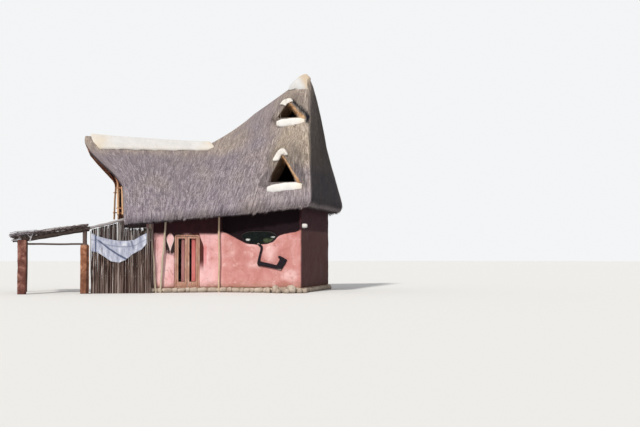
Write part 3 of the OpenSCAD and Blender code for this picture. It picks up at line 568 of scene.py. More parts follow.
def rods(name, runs, sides=10, wobble=0.0, seed=1.0):
    """One piece of many round rods. Each run is a list of places and the radii there."""
    corners, faces, length_at, turn_at = [], [], [], []
    steps = np.arange(sides)
    turns = steps / sides * 2 * pi
    for number, (line, radii) in enumerate(runs):
        line = np.asarray(line, dtype=float)
        radii = np.broadcast_to(np.asarray(radii, dtype=float), (len(line),))
        if wobble:
            reach = np.linalg.norm(line[-1] - line[0])
            bow = np.sin(np.linspace(0, pi, len(line)))[:, None]
            sway = np.array([noise.noise_vector(Vector((number * 7.3 + seed, 1.9 * share, seed)))
                             for share in np.linspace(0, reach, len(line))])
            line = line + bow * sway * wobble
        ahead = np.gradient(line, axis=0)
        ahead /= np.linalg.norm(ahead, axis=1)[:, None]
        across = np.cross(ahead, [0.31, 0.17, 0.93] if abs(ahead[0][2]) < 0.8 else [0.9, 0.4, 0.1])
        across /= np.linalg.norm(across, axis=1)[:, None]
        aside = np.cross(ahead, across)
        rings = across[:, None] * np.cos(turns)[:, None] + aside[:, None] * np.sin(turns)[:, None]
        first, last = len(corners), len(corners) + (len(line) - 1) * sides
        corners += (line[:, None] + radii[:, None, None] * rings).reshape(-1, 3).tolist()
        run_length = np.concatenate([[0], np.cumsum(np.linalg.norm(np.diff(line, axis=0), axis=1))])
        length_at += np.repeat(run_length + number * 3.7, sides).tolist()
        turn_at += np.tile(turns, len(line)).tolist()
        for ring in range(first, last, sides):
            a, b = ring + steps, ring + (steps + 1) % sides
            faces += np.column_stack([a, b, b + sides, a + sides]).tolist()
        faces += [(first + steps[::-1]).tolist(), (last + steps).tolist()]
    mesh = bpy.data.meshes.new(name)
    mesh.from_pydata(corners, [], faces)
    made = linked(name, mesh)
    mark(made, "length", length_at)
    mark(made, "turn", turn_at)
    smooth(made, 50)
    return made


def straight(start, end, steps):
    return mix(np.asarray(start, dtype=float), np.asarray(end), np.linspace(0, 1, steps)[:, None])


def pole_finish(name, dark, middle, light, depth=0.003):
    """Wood whose grain runs along a rod."""
    made = Finish(name, Roughness=0.8)
    fibre = made.fibres()
    made.paint(made.ramp(fibre, (0.3, *dark), (0.72, *light), (0.5, *middle)))
    made.paint(tuple(0.75 * part for part in middle), made.grain(2.2, 4), 0.4, 0.7, 0.45)
    made.bump(fibre, depth)
    return made


weathered = pole_finish("weathered_timber", (0.13, 0.075, 0.05), (0.30, 0.17, 0.10), (0.46, 0.28, 0.17))
red_gum = pole_finish("orange_gum_pole", (0.30, 0.10, 0.05), (0.58, 0.25, 0.13), (0.76, 0.40, 0.24))
pale = pole_finish("peeled_pale_pole", (0.30, 0.24, 0.17), (0.55, 0.46, 0.35), (0.74, 0.66, 0.54))

joist_r, loft_z, joist_step = 0.06, 2.86, 0.6
joists = [(straight(on_tower(at, -wall_t - 0.001, loft_z - joist_r),
                    on_tower(at, -house_depth + wall_t + 0.001, loft_z - joist_r), 14), joist_r)
          for at in np.arange(0.45, tower_len - wall_t - 0.15 + 0.001, joist_step)]
dress(rods("loft_joist_poles", joists, 12), weathered, ("loft_joists",))

board_finish = Finish("sawn_boards", Roughness=0.8)
along_board = board_finish.grain(5, 6, 0.7, place=board_finish.node(
    "Mapping", None, {"Vector": board_finish.place, "Rotation": (0, 0, bend), "Scale": (1, 12, 12)}))
board_finish.paint(board_finish.ramp(along_board, (0.3, 0.17, 0.12, 0.08), (0.72, 0.46, 0.36, 0.26)))
board_finish.bump(along_board, 0.003)
boards, board_w, board_gap, board_t = [], 0.15, 0.006, 0.04
start, reach = 0.31, tower_len - wall_t - 0.32
for number in range(int((house_depth - 2 * wall_t) / board_w)):
    bpy.ops.mesh.primitive_cube_add(size=1)
    board = bpy.context.object
    edit(board, bpy.ops.mesh.bevel, offset=0.03, segments=1)
    x, y, z = places(board.data).T
    back = wall_t + 0.003 + (number + 0.5 + y * (1 - board_gap / board_w)) * board_w
    flat = [on_tower(start + share * reach, -out) for share, out in zip(x + 0.5, back)]
    put(board.data, np.column_stack([flat, loft_z + (z + 0.5) * board_t + hand.uniform(-0.001, 0.001)]))
    boards.append(board)
dress(joined("loft_boards", boards), board_finish, ("loft_floor",))

# Thatch
# Grass laid in bundles from the eaves up and combed down the slope, in one coat 280 mm thick
# that sweeps from the low wing up to the peak. The eave is cut by hand, so it is rounded and
# ragged, and its underside is painted nearly black as painted shade.
eave_over, hip_over, thatch_t = 0.55, 0.5, 0.28
verge_eave, verge_tip, verge_plumb = 1.03, 2.4, 0.62
eave_z_wing, eave_z_tower = 2.59, 3.2
tip_z, saddle_z, peak_z, peak_inset = 5.88, 5.7, 8.26, 0.36
hip_swell, saddle_s = 0.26, 0.53
slope_run = house_depth / 2 + eave_over
wing_pitch = np.arctan((saddle_z - eave_z_wing) / slope_run)
tower_pitch = np.arctan((peak_z - eave_z_tower) / slope_run)
hip_pitch = np.arctan((peak_z - eave_z_tower) / (hip_over + peak_inset))
peak_drop = thatch_t / cos(tower_pitch)
peak_left = (thatch_t - peak_drop * cos(hip_pitch)) / sin(hip_pitch)


def round_path(start, corner, end, soft, share):
    """Points on a path with one rounded corner, at these shares of its way."""
    start, corner, end = (np.asarray(p, dtype=float) for p in (start, corner, end))
    before, after = np.linalg.norm(start - corner), np.linalg.norm(end - corner)
    share_a = before * (1 - soft) / (before + after)
    share_b = (before + after * soft) / (before + after)
    a, b = mix(corner, start, soft), mix(corner, end, soft)
    q = ((share - share_a) / (share_b - share_a))[:, None]
    curved = a * (1 - q) ** 2 + corner * 2 * q * (1 - q) + b * q * q
    first = mix(start, a, (share / share_a)[:, None])
    last = mix(b, end, ((share - share_b) / (1 - share_b))[:, None])
    return np.where(share[:, None] <= share_a, first, np.where(share[:, None] >= share_b, last, curved))


def eave_line(side, u, k):
    """The eave at shares u along it, on the thatch's outer (k 0) or inner (k 1) face."""
    front = side == "front"
    wing_reach = eave_over - thatch_t * sin(wing_pitch) * k
    tower_reach = eave_over - thatch_t * sin(tower_pitch) * k
    middle = (wing_reach + tower_reach) / 2
    along = tower_len + hip_over - thatch_t / sin(hip_pitch) * k
    plan = round_path(on_wing(-wing_len - verge_eave, -wing_reach if front else house_depth + wing_reach),
                      bend_place + bend_out * (middle if front else -house_depth - middle),
                      on_tower(along, tower_reach if front else -house_depth - tower_reach),
                      0.55 if front else 0.3, u)
    drop = mix(cos(wing_pitch), cos(tower_pitch), u) * thatch_t * k
    return np.column_stack([plan, mix(eave_z_wing, eave_z_tower, u) - drop])


def ridge_line(u, k):
    s = 1 - (1 - u) ** 2.1
    rise = np.maximum(0, (s - saddle_s) / (1 - saddle_s))
    low = np.minimum(1, s / saddle_s)
    z = np.where(rise > 0, mix(saddle_z, peak_z, 0.9 * rise + 0.1 * rise ** 2),
                 mix(tip_z, saddle_z, 1 - (1 - low) ** 1.6))
    half = house_depth / 2
    plan = round_path(on_wing(-wing_len - verge_tip, half), bend_place - bend_out * half,
                      on_tower(tower_len - peak_inset - peak_left * k, -half), 0.35, s)
    return np.column_stack([plan, z - mix(thatch_t / cos(wing_pitch), peak_drop, rise) * k])


def slope(side, u, v, k):
    """Points on a slope at shares u along it and v down it, on its outer or inner face."""
    ridge, eave = ridge_line(u, k), eave_line(side, u, k)
    ease = mix(v, smooth_step(v / verge_plumb, 0, 1), np.maximum(0, 1 - u / 0.3))
    return mix(ridge, eave, np.column_stack([ease, v, v]))


def slope_point(side, u, v, k):
    return slope(side, np.array([u]), np.array([v]), k)[0]


def hip(w, v, k):
    """Points on the hip end, w running from the front hip to the back hip."""
    one = np.ones(1)
    eave = mix(eave_line("front", one, k), eave_line("back", one, k), w[:, None])
    swell_out = hip_swell * np.sin(pi * w) * np.sin(pi * np.minimum(v, 1) ** 0.6)
    face = mix(ridge_line(one, k), eave, v[:, None])
    face[:, :2] += swell_out[:, None] * tower_dir
    return face


# The coat is one sheet of columns, from the front verge round the hip to the back verge. Each
# column runs down the outer face, round the cut eave and up the inner face.
slope_cols, hip_cols, outer_rows, cut_rows, inner_rows, verge_thin = 270, 60, 108, 7, 8, 0.68
droop_from, droop, verge_bulge = 0.945, 0.42, 0.05
outer_v = np.linspace(0, 1, outer_rows)
row_v = np.concatenate([outer_v, np.ones(cut_rows), np.linspace(1, 0, inner_rows)[1:]])
row_k = np.concatenate([droop * np.maximum(0, (outer_v - droop_from) / (1 - droop_from)) ** 2,
                        mix(droop, 1, np.linspace(0, 1, cut_rows + 1)[1:]), np.ones(inner_rows - 1)])
ends = radians(78) * np.linspace(1, 0, 5)
front_u = np.concatenate([np.zeros(4), np.linspace(0, 1, slope_cols + 1)])
front_end = np.concatenate([ends[:4], np.zeros(slope_cols + 1)])
hip_w = np.linspace(0, 1, hip_cols + 1)[1:-1]
coat = []
for v, k in zip(row_v, row_k):
    columns = []
    for side in ("front", "hip", "back"):
        if side == "hip":
            columns.append(hip(hip_w, np.full(len(hip_w), v), k))
            continue
        narrowed = (0.5 + (k - 0.5) * np.cos(front_end)) * mix(verge_thin, 1, smooth_step(front_u, 0, 0.09))
        face, back = (slope(side, front_u, np.full(len(front_u), v), depth) for depth in (0, 1))
        line = mix(face, back, narrowed[:, None])
        line[:, 0] -= verge_bulge * np.sin(front_end)
        columns.append(line if side == "front" else line[::-1])
    coat.append(np.vstack(columns))
coat = np.stack(coat, axis=1)
col_count, row_count = coat.shape[:2]
front_count = len(front_u)
eave_steps = np.linalg.norm(np.diff(coat[:, outer_rows - 1], axis=0), axis=1)
across_at = np.concatenate([[0], np.cumsum(eave_steps)])
down_at = np.concatenate([np.zeros((col_count, 1)),
                          np.cumsum(np.linalg.norm(np.diff(coat, axis=1), axis=2), axis=1)], axis=1)

# The coat swells forward over the two triangular openings, as a thick eyebrow
hood_t, hood_front, tip_half = 0.15, -0.12, 0.06
dormers = {"lower": (2.45, 4.0, 1.16, 0.98, 0.72), "upper": (2.28, 6.54, 0.94, 0.6, 0.36)}


def roof_depth(along, z):
    """How far in from the tower's front the thatch's face is, at this height."""
    low, high = 0.4, 1.0
    for _ in range(20):
        u = np.array([(low + high) / 2])
        ridge, eave = ridge_line(u, 0)[0], eave_line("front", u, 0)[0]
        share = (ridge[2] - z) / (ridge[2] - eave[2])
        plan = slope("front", u, np.array([share]), 0)[0][:2] - bend_place
        if plan @ tower_dir < along:
            low = u[0]
        else:
            high = u[0]
    return -plan @ tower_out


def edge_distance(x, z, a, b):
    """The distance of points from an edge between two corners."""
    run = np.subtract(b, a)
    share = np.clip(((x - a[0]) * run[0] + (z - a[1]) * run[1]) / (run @ run), 0, 1)
    return np.hypot(x - a[0] - share * run[0], z - a[1] - share * run[1])


def outside(x, z, width, height):
    """The distance of points outside a triangular opening, less than 0 within it."""
    left, right, top = (-width / 2, 0.0), (width / 2, 0.0), (0.0, height)
    near = np.minimum(edge_distance(x, z, left, top), edge_distance(x, z, right, top))
    near = np.minimum(near, edge_distance(x, z, left, right))
    within = (z > 0) & (np.abs(x) < width / 2 * (1 - z / height))
    return np.where(within, -near, near)


def in_dormer(name, where):
    """Places as seen from the middle of an opening's foot: aside, inward and up."""
    along, out = tower_shares(where)
    return along - dormers[name][0], -out - dormer_depth[name], where[..., 2] - dormers[name][1]


dormer_depth = {}
shown = coat[:front_count, :outer_rows]
for name, (along, sill_z, width, height, fade_up) in dormers.items():
    dormer_depth[name] = roof_depth(along, sill_z)
    x, inward, z = in_dormer(name, shown)
    over = np.clip((z - height * 0.55) / (height * 0.6), 0, 1)
    beyond = (outside(x, z, width, height) - hood_t) / mix(0.24, fade_up, over)
    held = (1 - smooth_step(beyond, 0.0, 1.0)) * smooth_step(z, -0.16, 0.04)
    moved = held * np.maximum(0, inward - hood_front)
    shown[..., :2] += moved[..., None] * tower_out

# Waves, bundles and combed tufts raise the outer face and the cut eave
thatch, wide, up = cloth_grid("thatch_coat", col_count - 1, row_count - 1)
order = np.lexsort((np.round(up, 6), np.round(wide, 6)))
flat, slot_of = np.empty((len(order), 3)), np.empty(len(order), dtype=int)
flat[order] = coat.reshape(-1, 3)
slot_of[order] = np.arange(len(order))
put(thatch.data, flat)
col_of, row_of = slot_of // row_count, slot_of % row_count
across, down = across_at[col_of], down_at[col_of, row_of]
outer = (row_of < outer_rows + cut_rows - 1).astype(float) * smooth_step(row_of, 0, 3)
eave_near = smooth_step(row_of, outer_rows - 6, outer_rows)
combed = np.column_stack([across, down * 0.12, np.zeros(len(across))])
bundle = lumps(combed, 0.11, 3)
tuft = lumps(combed * [1, 2.2, 1], 0.045, 8)
cut = eave_near * 0.016 * lumps(combed, 0.07, 12)
swell(thatch, outer * (0.022 * lumps(flat, 1.1, 5) + 0.011 * bundle + 0.006 * tuft + cut))
mark(thatch, "across", across)
mark(thatch, "down", down)
mark(thatch, "under", smooth_step(row_of, outer_rows + 0.5, outer_rows + 3))
formed = places(thatch.data)[np.argsort(slot_of)].reshape(col_count, row_count, 3)

# The ridge is closed by merging the two slopes, and the verges by filling their narrow ends
edit(thatch, bpy.ops.mesh.remove_doubles, threshold=0.002)
bpy.ops.object.mode_set(mode="EDIT")
bpy.ops.mesh.select_all(action="DESELECT")
bpy.ops.mesh.select_non_manifold(extend=False)
bpy.ops.mesh.fill()
bpy.ops.object.mode_set(mode="OBJECT")
edit(thatch, bpy.ops.mesh.normals_make_consistent, inside=False)

# A triangular prism is cut out of the front slope for each opening
cut_ahead = 0.9
for name, cut_in in (("lower", 0.95), ("upper", 0.75)):
    along, sill_z, width, height, _ = dormers[name]
    shoulder_x, shoulder_z = width * tip_half, height * (1 - tip_half)
    corners = [(-width / 2, 0), (width / 2, 0), (shoulder_x, shoulder_z), (0, height),
               (-shoulder_x, shoulder_z)]
    bpy.ops.mesh.primitive_circle_add(vertices=5, fill_type="NGON")
    cutter = bpy.context.object
    put(cutter.data, [on_tower(along + x, -dormer_depth[name] + cut_ahead, sill_z + z) for x, z in corners])
    inward = -tower_out * (cut_ahead + cut_in)
    edit(cutter, bpy.ops.mesh.extrude_region_move, TRANSFORM_OT_translate={"value": (*inward, 0)})
    edit(cutter, bpy.ops.mesh.normals_make_consistent, inside=False)
    modify(thatch, "BOOLEAN", operation="DIFFERENCE", object=cutter, solver="EXACT")
    bpy.data.objects.remove(cutter)
smooth(thatch, 60)


def golden(where):
    """How warm the straw is: mauve grey low on the wing, golden by the openings and the ridge."""
    along, z = tower_shares(where)[0], where[:, 2]
    near_hip = smooth_step(along, 0.9, 2.5) * smooth_step(z, 3.9, 4.9)
    share = np.clip((along + wing_len + verge_eave) / (wing_len + verge_eave + tower_len), 0, 1)
    near_ridge = 0.7 * smooth_step(z - mix(5.15, 5.3, share), -0.25, 0.3) * (1 - smooth_step(along, 0.0, 1.2))
    low_right = 0.22 * smooth_step(along, 0.3, 1.6)
    return np.clip(np.maximum.reduce([near_hip, near_ridge, low_right]) + 0.32 * lumps(where, 0.75, 31), 0, 1)


def shaded(where):
    """How much painted shade the straw has: black on the hip, and in the crease beside each opening's hood as
    the hood's painted shadow.
    """
    along, out = tower_shares(where)
    behind = -out
    height_share = (where[:, 2] - eave_z_tower) / (peak_z - eave_z_tower)
    crease = tower_len + hip_over - (hip_over + peak_inset) * height_share
    front_edge = mix(-eave_over, house_depth / 2, height_share)
    from_edge = np.minimum(behind - front_edge, house_depth - front_edge - behind)
    dark = 0.74 * smooth_step(along, crease - 0.1, crease - 0.03) * smooth_step(from_edge, 0.04, 0.2)
    for name, strength in (("upper", 1.0), ("lower", 0.3)):
        (x, _, z), (width, height) = in_dormer(name, where), dormers[name][2:4]
        beside = mix(0.27, 0.14, np.clip(z / height, 0, 1))
        off_line = np.abs(outside(x, np.maximum(z, 0.001), width, height) - beside)
        right = smooth_step(x, 0.12, 0.2) * smooth_step(z, -0.3, -0.18) * (behind < 2.2)
        dark = np.maximum(dark, strength * (1 - smooth_step(off_line, 0.035, 0.07)) * right)
    return dark


grass = Finish("weathered_grass", Roughness=0.95)
lie = grass.node("CombineXYZ", None, {0: grass.attribute("across"), 1: grass.attribute("down")})
straws = grass.grain(10, 6, 0.75, place=grass.stretched(9, 0.5, 1, place=lie))
bundles = grass.grain(10, 4, 0.6, place=grass.stretched(1.3, 0.10, 1, place=lie))
mauve = grass.ramp(straws, (0.28, 0.105, 0.085, 0.098), (0.74, 0.47, 0.41, 0.43), (0.5, 0.265, 0.225, 0.24))
gold = grass.ramp(straws, (0.28, 0.155, 0.115, 0.085), (0.74, 0.64, 0.55, 0.45), (0.5, 0.38, 0.31, 0.25))
shade_black = (0.009, 0.010, 0.018)
grass.paint(grass.blend(grass.attribute("golden"), mauve, gold))
grass.paint((0.155, 0.125, 0.14), bundles, 0.38, 0.66, 0.6)
grass.paint((0.20, 0.18, 0.13), grass.grain(2.4, 5, 0.65), 0.62, 0.76, 0.3)
# Painted shade on the hip and beside the hoods, then under the eave
grass.paint(shade_black, "shaded")
grass.paint((0.040, 0.025, 0.027), "under", most=0.92)
grass.bump(straws * 0.7 + bundles * 0.5, 0.035)
mark(thatch, "golden", golden(places(thatch.data)))
mark(thatch, "shaded", shaded(places(thatch.data)))
dress(thatch, grass, ("thatch_wing_front", "thatch_tower_front", "thatch_hip", "thatch_tower_back",
                                "thatch_wing_back", "lower_hood", "upper_hood"))

# Loose straws lie on the coat and stand out of the cut eave


def unit(rows):
    return rows / np.maximum(np.linalg.norm(rows, axis=-1), 1e-9)[..., None]


ahead, aside = unit(np.gradient(formed, axis=1)), unit(np.gradient(formed, axis=0))
lifted = unit(np.cross(aside, ahead))
chance = np.random.default_rng(11)


def in_opening(where, grow):
    """Whether places lie in the way of an opening."""
    found = np.zeros(len(where), dtype=bool)
    for name, (_, _, width, height, _) in dormers.items():
        x, inward, z = in_dormer(name, where)
        found |= (outside(x, z, width, height) < grow) & (inward > -0.5) & (inward < 0.9)
    return found


def between(field, col, row):
    """A field's values at these places between the coat's columns and rows."""
    c, r = np.minimum(col.astype(int), col_count - 2), np.minimum(row.astype(int), row_count - 2)
    part_c, part_r = col - c, row - r
    if field.ndim == 3:
        part_c, part_r = part_c[:, None], part_r[:, None]
    above, below = (mix(field[c, at], field[c + 1, at], part_c) for at in (r, r + 1))
    return mix(above, below, part_r)


straw_sink = 0.006
under_field = np.tile(smooth_step(np.arange(row_count), outer_rows + 0.5, outer_rows + 3), (col_count, 1))


def straw_piece(name, col, row, reach, width, lift, stray):
    """Straws rooted at these columns and rows of the coat, each a thin tapered blade."""
    root, up_dir, side_dir = between(formed, col, row), between(lifted, col, row), between(aside, col, row)
    line = unit(between(ahead, col, row) + side_dir * chance.normal(0, stray, len(root))[:, None])
    root = root - up_dir * straw_sink
    tip = root + line * reach[:, None] + up_dir * lift[:, None]
    good = ~in_opening(root, 0.03) & ~in_opening(tip, 0.0)
    half = side_dir * width[:, None] / 2
    blades = np.stack([root - half, root + half, tip + half * 0.35, tip - half * 0.35], axis=1)[good]
    mesh = bpy.data.meshes.new(name)
    mesh.from_pydata(blades.reshape(-1, 3).tolist(), [], np.arange(len(blades) * 4).reshape(-1, 4).tolist())
    made = linked(name, mesh)
    streak = lumps(np.column_stack([across_at[col.astype(int)], row * 0.009, 0 * row])[good], 0.055, 17)
    tuft_tone = 0.5 + 0.55 * streak + chance.normal(0, 0.3, len(blades))
    mark(made, "shade", np.repeat(np.clip(tuft_tone, 0, 1), 4))
    mark(made, "under", np.repeat(between(under_field, col, row)[good], 4))
    middle = blades.mean(axis=1)
    mark(made, "golden", np.repeat(golden(middle), 4))
    dark = [np.maximum(shaded(place[good]), 0.8 * shaded(middle)) for place in (root, root, tip, tip)]
    mark(made, "shaded", np.stack(dark, axis=1).ravel())
    return made


straw = Finish("loose_straw", Roughness=0.9)
shade = straw.attribute("shade")
mauve = straw.ramp(shade, (0.0, 0.09, 0.072, 0.088), (1.0, 0.54, 0.475, 0.51), (0.5, 0.265, 0.222, 0.255))
gold = straw.ramp(shade, (0.0, 0.15, 0.11, 0.08), (1.0, 0.82, 0.71, 0.58), (0.5, 0.44, 0.355, 0.285))
straw.paint(straw.blend(straw.attribute("golden"), mauve, gold))
# Painted shade: the straws take the same painted shade on the hip, beside the hoods and under the eave
straw.paint(shade_black, "shaded")
straw.paint((0.045, 0.028, 0.030), "under", most=0.9)
for name, count, first, last in (("thatch_straws_front", 34000, 4, front_count - 2),
                                 ("thatch_straws_hip", 6000, front_count - 2, front_count + hip_cols),
                                 ("thatch_straws_back", 16000, front_count + hip_cols, col_count - 6)):
    col = chance.uniform(first, last, count)
    row = (outer_rows - 2) * np.sqrt(chance.uniform(0.0004, 1, count))
    room = (outer_rows - row) / outer_rows * 4.0
    reach = np.minimum(chance.uniform(0.12, 0.4, count), room + 0.05)
    dress(straw_piece(name, col, row, reach, chance.uniform(0.005, 0.011, count),
                      chance.uniform(0.006, 0.024, count), 0.07), straw)
count = 15000
col = chance.uniform(3, col_count - 4, count)
row = chance.uniform(outer_rows - 5, outer_rows + cut_rows - 2, count)
for field in (ahead, lifted):
    field[:, outer_rows - 1:outer_rows + cut_rows] = field[:, outer_rows - 6][:, None]
along_eave = np.column_stack([across_at[col.astype(int)], 0 * col, 0 * col])
ragged = 1 + 1.6 * np.maximum(lumps(along_eave, 0.16, 27), 0)
dress(straw_piece("eave_fringe", col, row, chance.uniform(0.03, 0.085, count) * ragged,
                  chance.uniform(0.006, 0.013, count), chance.uniform(-0.02, 0.01, count), 0.15),
      straw)

# Ridge cap
# Lime cement trowelled over the ridge in one thick saddle, with a rounded lower edge and a
# slanting left end. Rain has stained it yellow at that end and grey in the hollows.


def cast(name, nodes, voxel, rounds, lump, seed):
    """A trowelled copy of CAD nodes, with rounded edges and an uneven face."""
    made = merged_copy(name, *nodes)
    soften(made, voxel, rounds)
    spots = places(made.data)
    swell(made, lump * (lumps(spots, 0.32, seed) + 0.45 * lumps(spots, 0.09, seed + 3)))
    return made


def lime_finish(name, white, stain):
    """Lime cement, whiter where the warm attribute is 0 and stained where it is 1."""
    made = Finish(name, Roughness=0.88)
    cloud = made.grain(2.6, 5, 0.62)
    pits = made.grain(70, 4, 0.65)
    drips = made.grain(3.0, 4, 0.6, place=made.stretched(3, 3, 0.5))
    made.paint(made.blend(made.level(cloud, 0.35, 0.7), tuple(0.9 * part for part in white), white))
    made.paint(stain, "warm")
    made.paint(tuple(0.72 * part for part in stain), drips, 0.56, 0.74, 0.35)
    made.paint((0.34, 0.31, 0.27), pits, 0.62, 0.8, 0.3)
    made.bump(cloud * 0.5 + pits * 0.12 + made.grain(18, 4) * 0.3, 0.02)
    return made


lime = lime_finish("ridge_lime", (0.70, 0.685, 0.675), (0.72, 0.61, 0.46))
ridge_cap = cast("ridge_cap_lime", ["ridge_cap"], 0.022, 5, 0.008, 4)
spots = places(ridge_cap.data)
low, high = spots.min(axis=0), spots.max(axis=0)
from_tip, from_end = spots[:, 0] - low[0], high[0] - spots[:, 0]
hang = 1 - smooth_step(spots[:, 2], low[2], low[2] + 0.33)
left = 1 - smooth_step(from_tip, 0.1, 1.0)
spots[:, 0] += 0.15 * hang * (1 - smooth_step(from_tip, 0.0, 0.6))
spots[:, 2] -= 0.05 * hang * left * smooth_step(from_tip, 0.12, 0.4)
right = 1 - smooth_step(from_end, 0.0, 0.5)
taper = right * (1 - np.abs(spots[:, 2] - low[2] - 0.2) / 0.32).clip(0, 1)
spots[:, 0] += 0.38 * taper
spots[:, 1] -= 0.07 * taper
put(ridge_cap.data, spots)
stained = np.clip(left * 0.9 + 0.25 * hang + 0.7 * right, 0, 1)
mark(ridge_cap, "warm", stained * (0.75 + 0.5 * lumps(spots, 0.4, 6)).clip(0, 1))
dress(ridge_cap, lime, ("ridge_cap",))

# Peak cap
# A rounded bonnet of the same lime cement, moulded over the peak where both slopes and the
# hip meet. It is creamy on the lit side and peach where it thins out into the straw.
peach = lime_finish("peak_lime", (0.66, 0.655, 0.65), (0.56, 0.455, 0.345))
peak_cap = cast("peak_cap_lime", ["peak_cap"], 0.02, 14, 0.006, 9)
peak_place = on_tower(tower_len - peak_inset, -house_depth / 2)
spots = places(peak_cap.data)
top = spots[:, 2].max()
below = top - spots[:, 2]
past = (spots[:, :2] - peak_place) @ tower_dir
hip_lean = (hip_over + peak_inset) / (peak_z - eave_z_tower)
over_hip = smooth_step(past - hip_lean * below, 0.03, 0.1)
crown = smooth_step(0.8 * np.maximum(-past, 0) - below, -0.45, -0.05)
tail = smooth_step(-past, 0.25, 0.75)
back = 0.14 * over_hip * smooth_step(below, 0.12, 0.4) + 0.09 * tail
spots[:, 2] += 0.085 * crown * np.exp(-((past + 0.36) / 0.26) ** 2) - 0.055 * tail
below = top - spots[:, 2]
spots[:, :2] -= (back + 0.06 * smooth_step(below, 0.16, 0.0))[:, None] * tower_dir
spots[:, 2] -= 0.04 * (1 - crown) * smooth_step(below, 0.3, 0.5) * (1 - over_hip)
put(peak_cap.data, spots)
mark(peak_cap, "warm", smooth_step(past + 0.6 * (spots[:, 2] - top + 0.35), -0.28, 0.05))
dress(peak_cap, peach, ("peak_cap",))

# Roof openings
# Each triangular opening is lined with ochre clay plaster that narrows inward and laps onto the
# hood on its right. A dab of lime caps the hood's crown, and a thick lime roll forms the sill.
ochre = Finish("ochre_clay", Roughness=0.92)
smear = ochre.grain(7, 5, 0.65)
ochre.paint(ochre.ramp(smear, (0.28, 0.26, 0.115, 0.055), (0.74, 0.74, 0.55, 0.36), (0.5, 0.50, 0.29, 0.15)))
# Painted shade: each lining is painted nearly black deep inside and on its left side
ochre.paint((0.018, 0.010, 0.007), "recess_shade")
ochre.bump(smear * 0.7 + ochre.grain(45, 4) * 0.25, 0.02)
sill_lime = lime_finish("sill_lime", (0.84, 0.82, 0.79), (0.80, 0.68, 0.50))
# How wide the clay surround starts at the foot, and how far the sill dips on the left
for name, band, dip in (("lower", 0.13, 0.085), ("upper", 0.23, 0.045)):
    along, sill_z, width, height, _ = dormers[name]
    lining = cast(name + "_lining_clay", [name + "_lining"], 0.016, 3, 0.010, 11)
    side, inward, _ = in_dormer(name, places(lining.data))
    # Marks the painted shade deep in each opening and on its left side
    mark(lining, "recess_shade", np.maximum(smooth_step(inward, 0.12, 0.42), 0.9 * smooth_step(-side, -0.05, 0.08)))
    dress(lining, ochre, (name + "_lining",))

    surround, share, up = cloth_grid(name + "_surround_clay", 14, 30)
    wide = mix(band, 0.03, up ** 0.8) * (1 + 0.12 * np.sin(up * 11)) * share
    side = along + width / 2 * (1 - up) - 0.02 + wide
    out = 0.022 * np.sin(pi * share) + 0.008 * np.sin(up * 17) + 0.016 - dormer_depth[name] - hood_front
    high = sill_z + height * up * 0.98 + wide * 0.3 * up - 0.07 * (1 - up) ** 6
    plan = bend_place + side[:, None] * tower_dir + out[:, None] * tower_out
    put(surround.data, np.column_stack([plan, high]))
    modify(surround, "SOLIDIFY", thickness=0.05, offset=-1)
    edit(surround, bpy.ops.mesh.normals_make_consistent, inside=False)
    smooth(surround, 50)
    dress(surround, ochre)

    crown = cast(name + "_hood_lime", [name + "_hood_cap"], 0.013, 5, 0.007, 21)
    spots = places(crown.data)
    side = in_dormer(name, spots)[0]
    drop = spots[:, 2].max() - spots[:, 2]
    right = smooth_step(side, 0.0, 0.12)
    spots[:, :2] -= (0.45 * right * side)[:, None] * tower_dir
    spots[:, 2] += 0.42 * right * drop - 0.03 * smooth_step(-side, 0.02, 0.2)
    if name == "upper":
        spots[:, 2] += 0.05 * smooth_step(-side, 0.08, 0.24) - 0.05 * np.exp(-(side / 0.17) ** 2)
    else:
        spots[:, 2] += 0.05 - 0.02 * smooth_step(-side, 0.1, 0.3)
    put(crown.data, spots)
    if name == "lower":
        swell(crown, np.full(len(side), 0.028))
    mark(crown, "warm", np.full(len(side), 0.15))
    dress(crown, sill_lime, (name + "_hood_cap",))

    roll = cast(name + "_sill_lime", [name + "_sill"], 0.015, 7, 0.010, 31)
    spots = places(roll.data)
    side = in_dormer(name, spots)[0] / (width / 2)
    tall = spots[:, 2] - spots[:, 2].mean()
    thicker = 0.2 - 0.4 * smooth_step(np.abs(side), 0.65, 1.1)
    spots[:, 2] += dip * np.minimum(side, 0) - 0.045 + tall * thicker
    spots[:, :2] += (0.05 + 0.07 * smooth_step(side, 0.2, 1.0))[:, None] * tower_dir
    put(roll.data, spots)
    mark(roll, "warm", smooth_step(side, 0.4, 1.1) * 0.5)
    dress(roll, sill_lime, (name + "_sill",))

# Gable purlins and verge poles
# Round gum poles reach out of the gable to carry the roof's overhang. Two bent poles hang on
# their tenons under each edge of the thatch, and thin laths lie between them and the straw.
purlin_r, verge_r, tenon_r, tenon_from = 0.045, 0.038, 0.022, 0.02
purlin_k, verge_k = 1 + (purlin_r + 0.025) / thatch_t, verge_thin + 0.16
purlin_shares, verge_lead, gable_u = (0.3, 0.55, 0.8), 0.12, 1 / 7
cord_r, cord_step, cord_slant, cord_out = 0.005, 0.014, 0.006, verge_r + 0.004


def verge_in(side, v):
    """The place on a roof's edge that its poles follow, below the thatch."""
    below, edge = slope_point(side, 0, v, verge_k), slope_point(side, 0, v + verge_lead, verge_k)
    return np.array([edge[0], below[1], below[2]])


def pole_off(number, v):
    """How far left of that place a verge pole hangs."""
    return -0.03 - verge_r - number * (2 * verge_r + 0.04 + 0.05 * smooth_step(v, 0.2, 0.6))


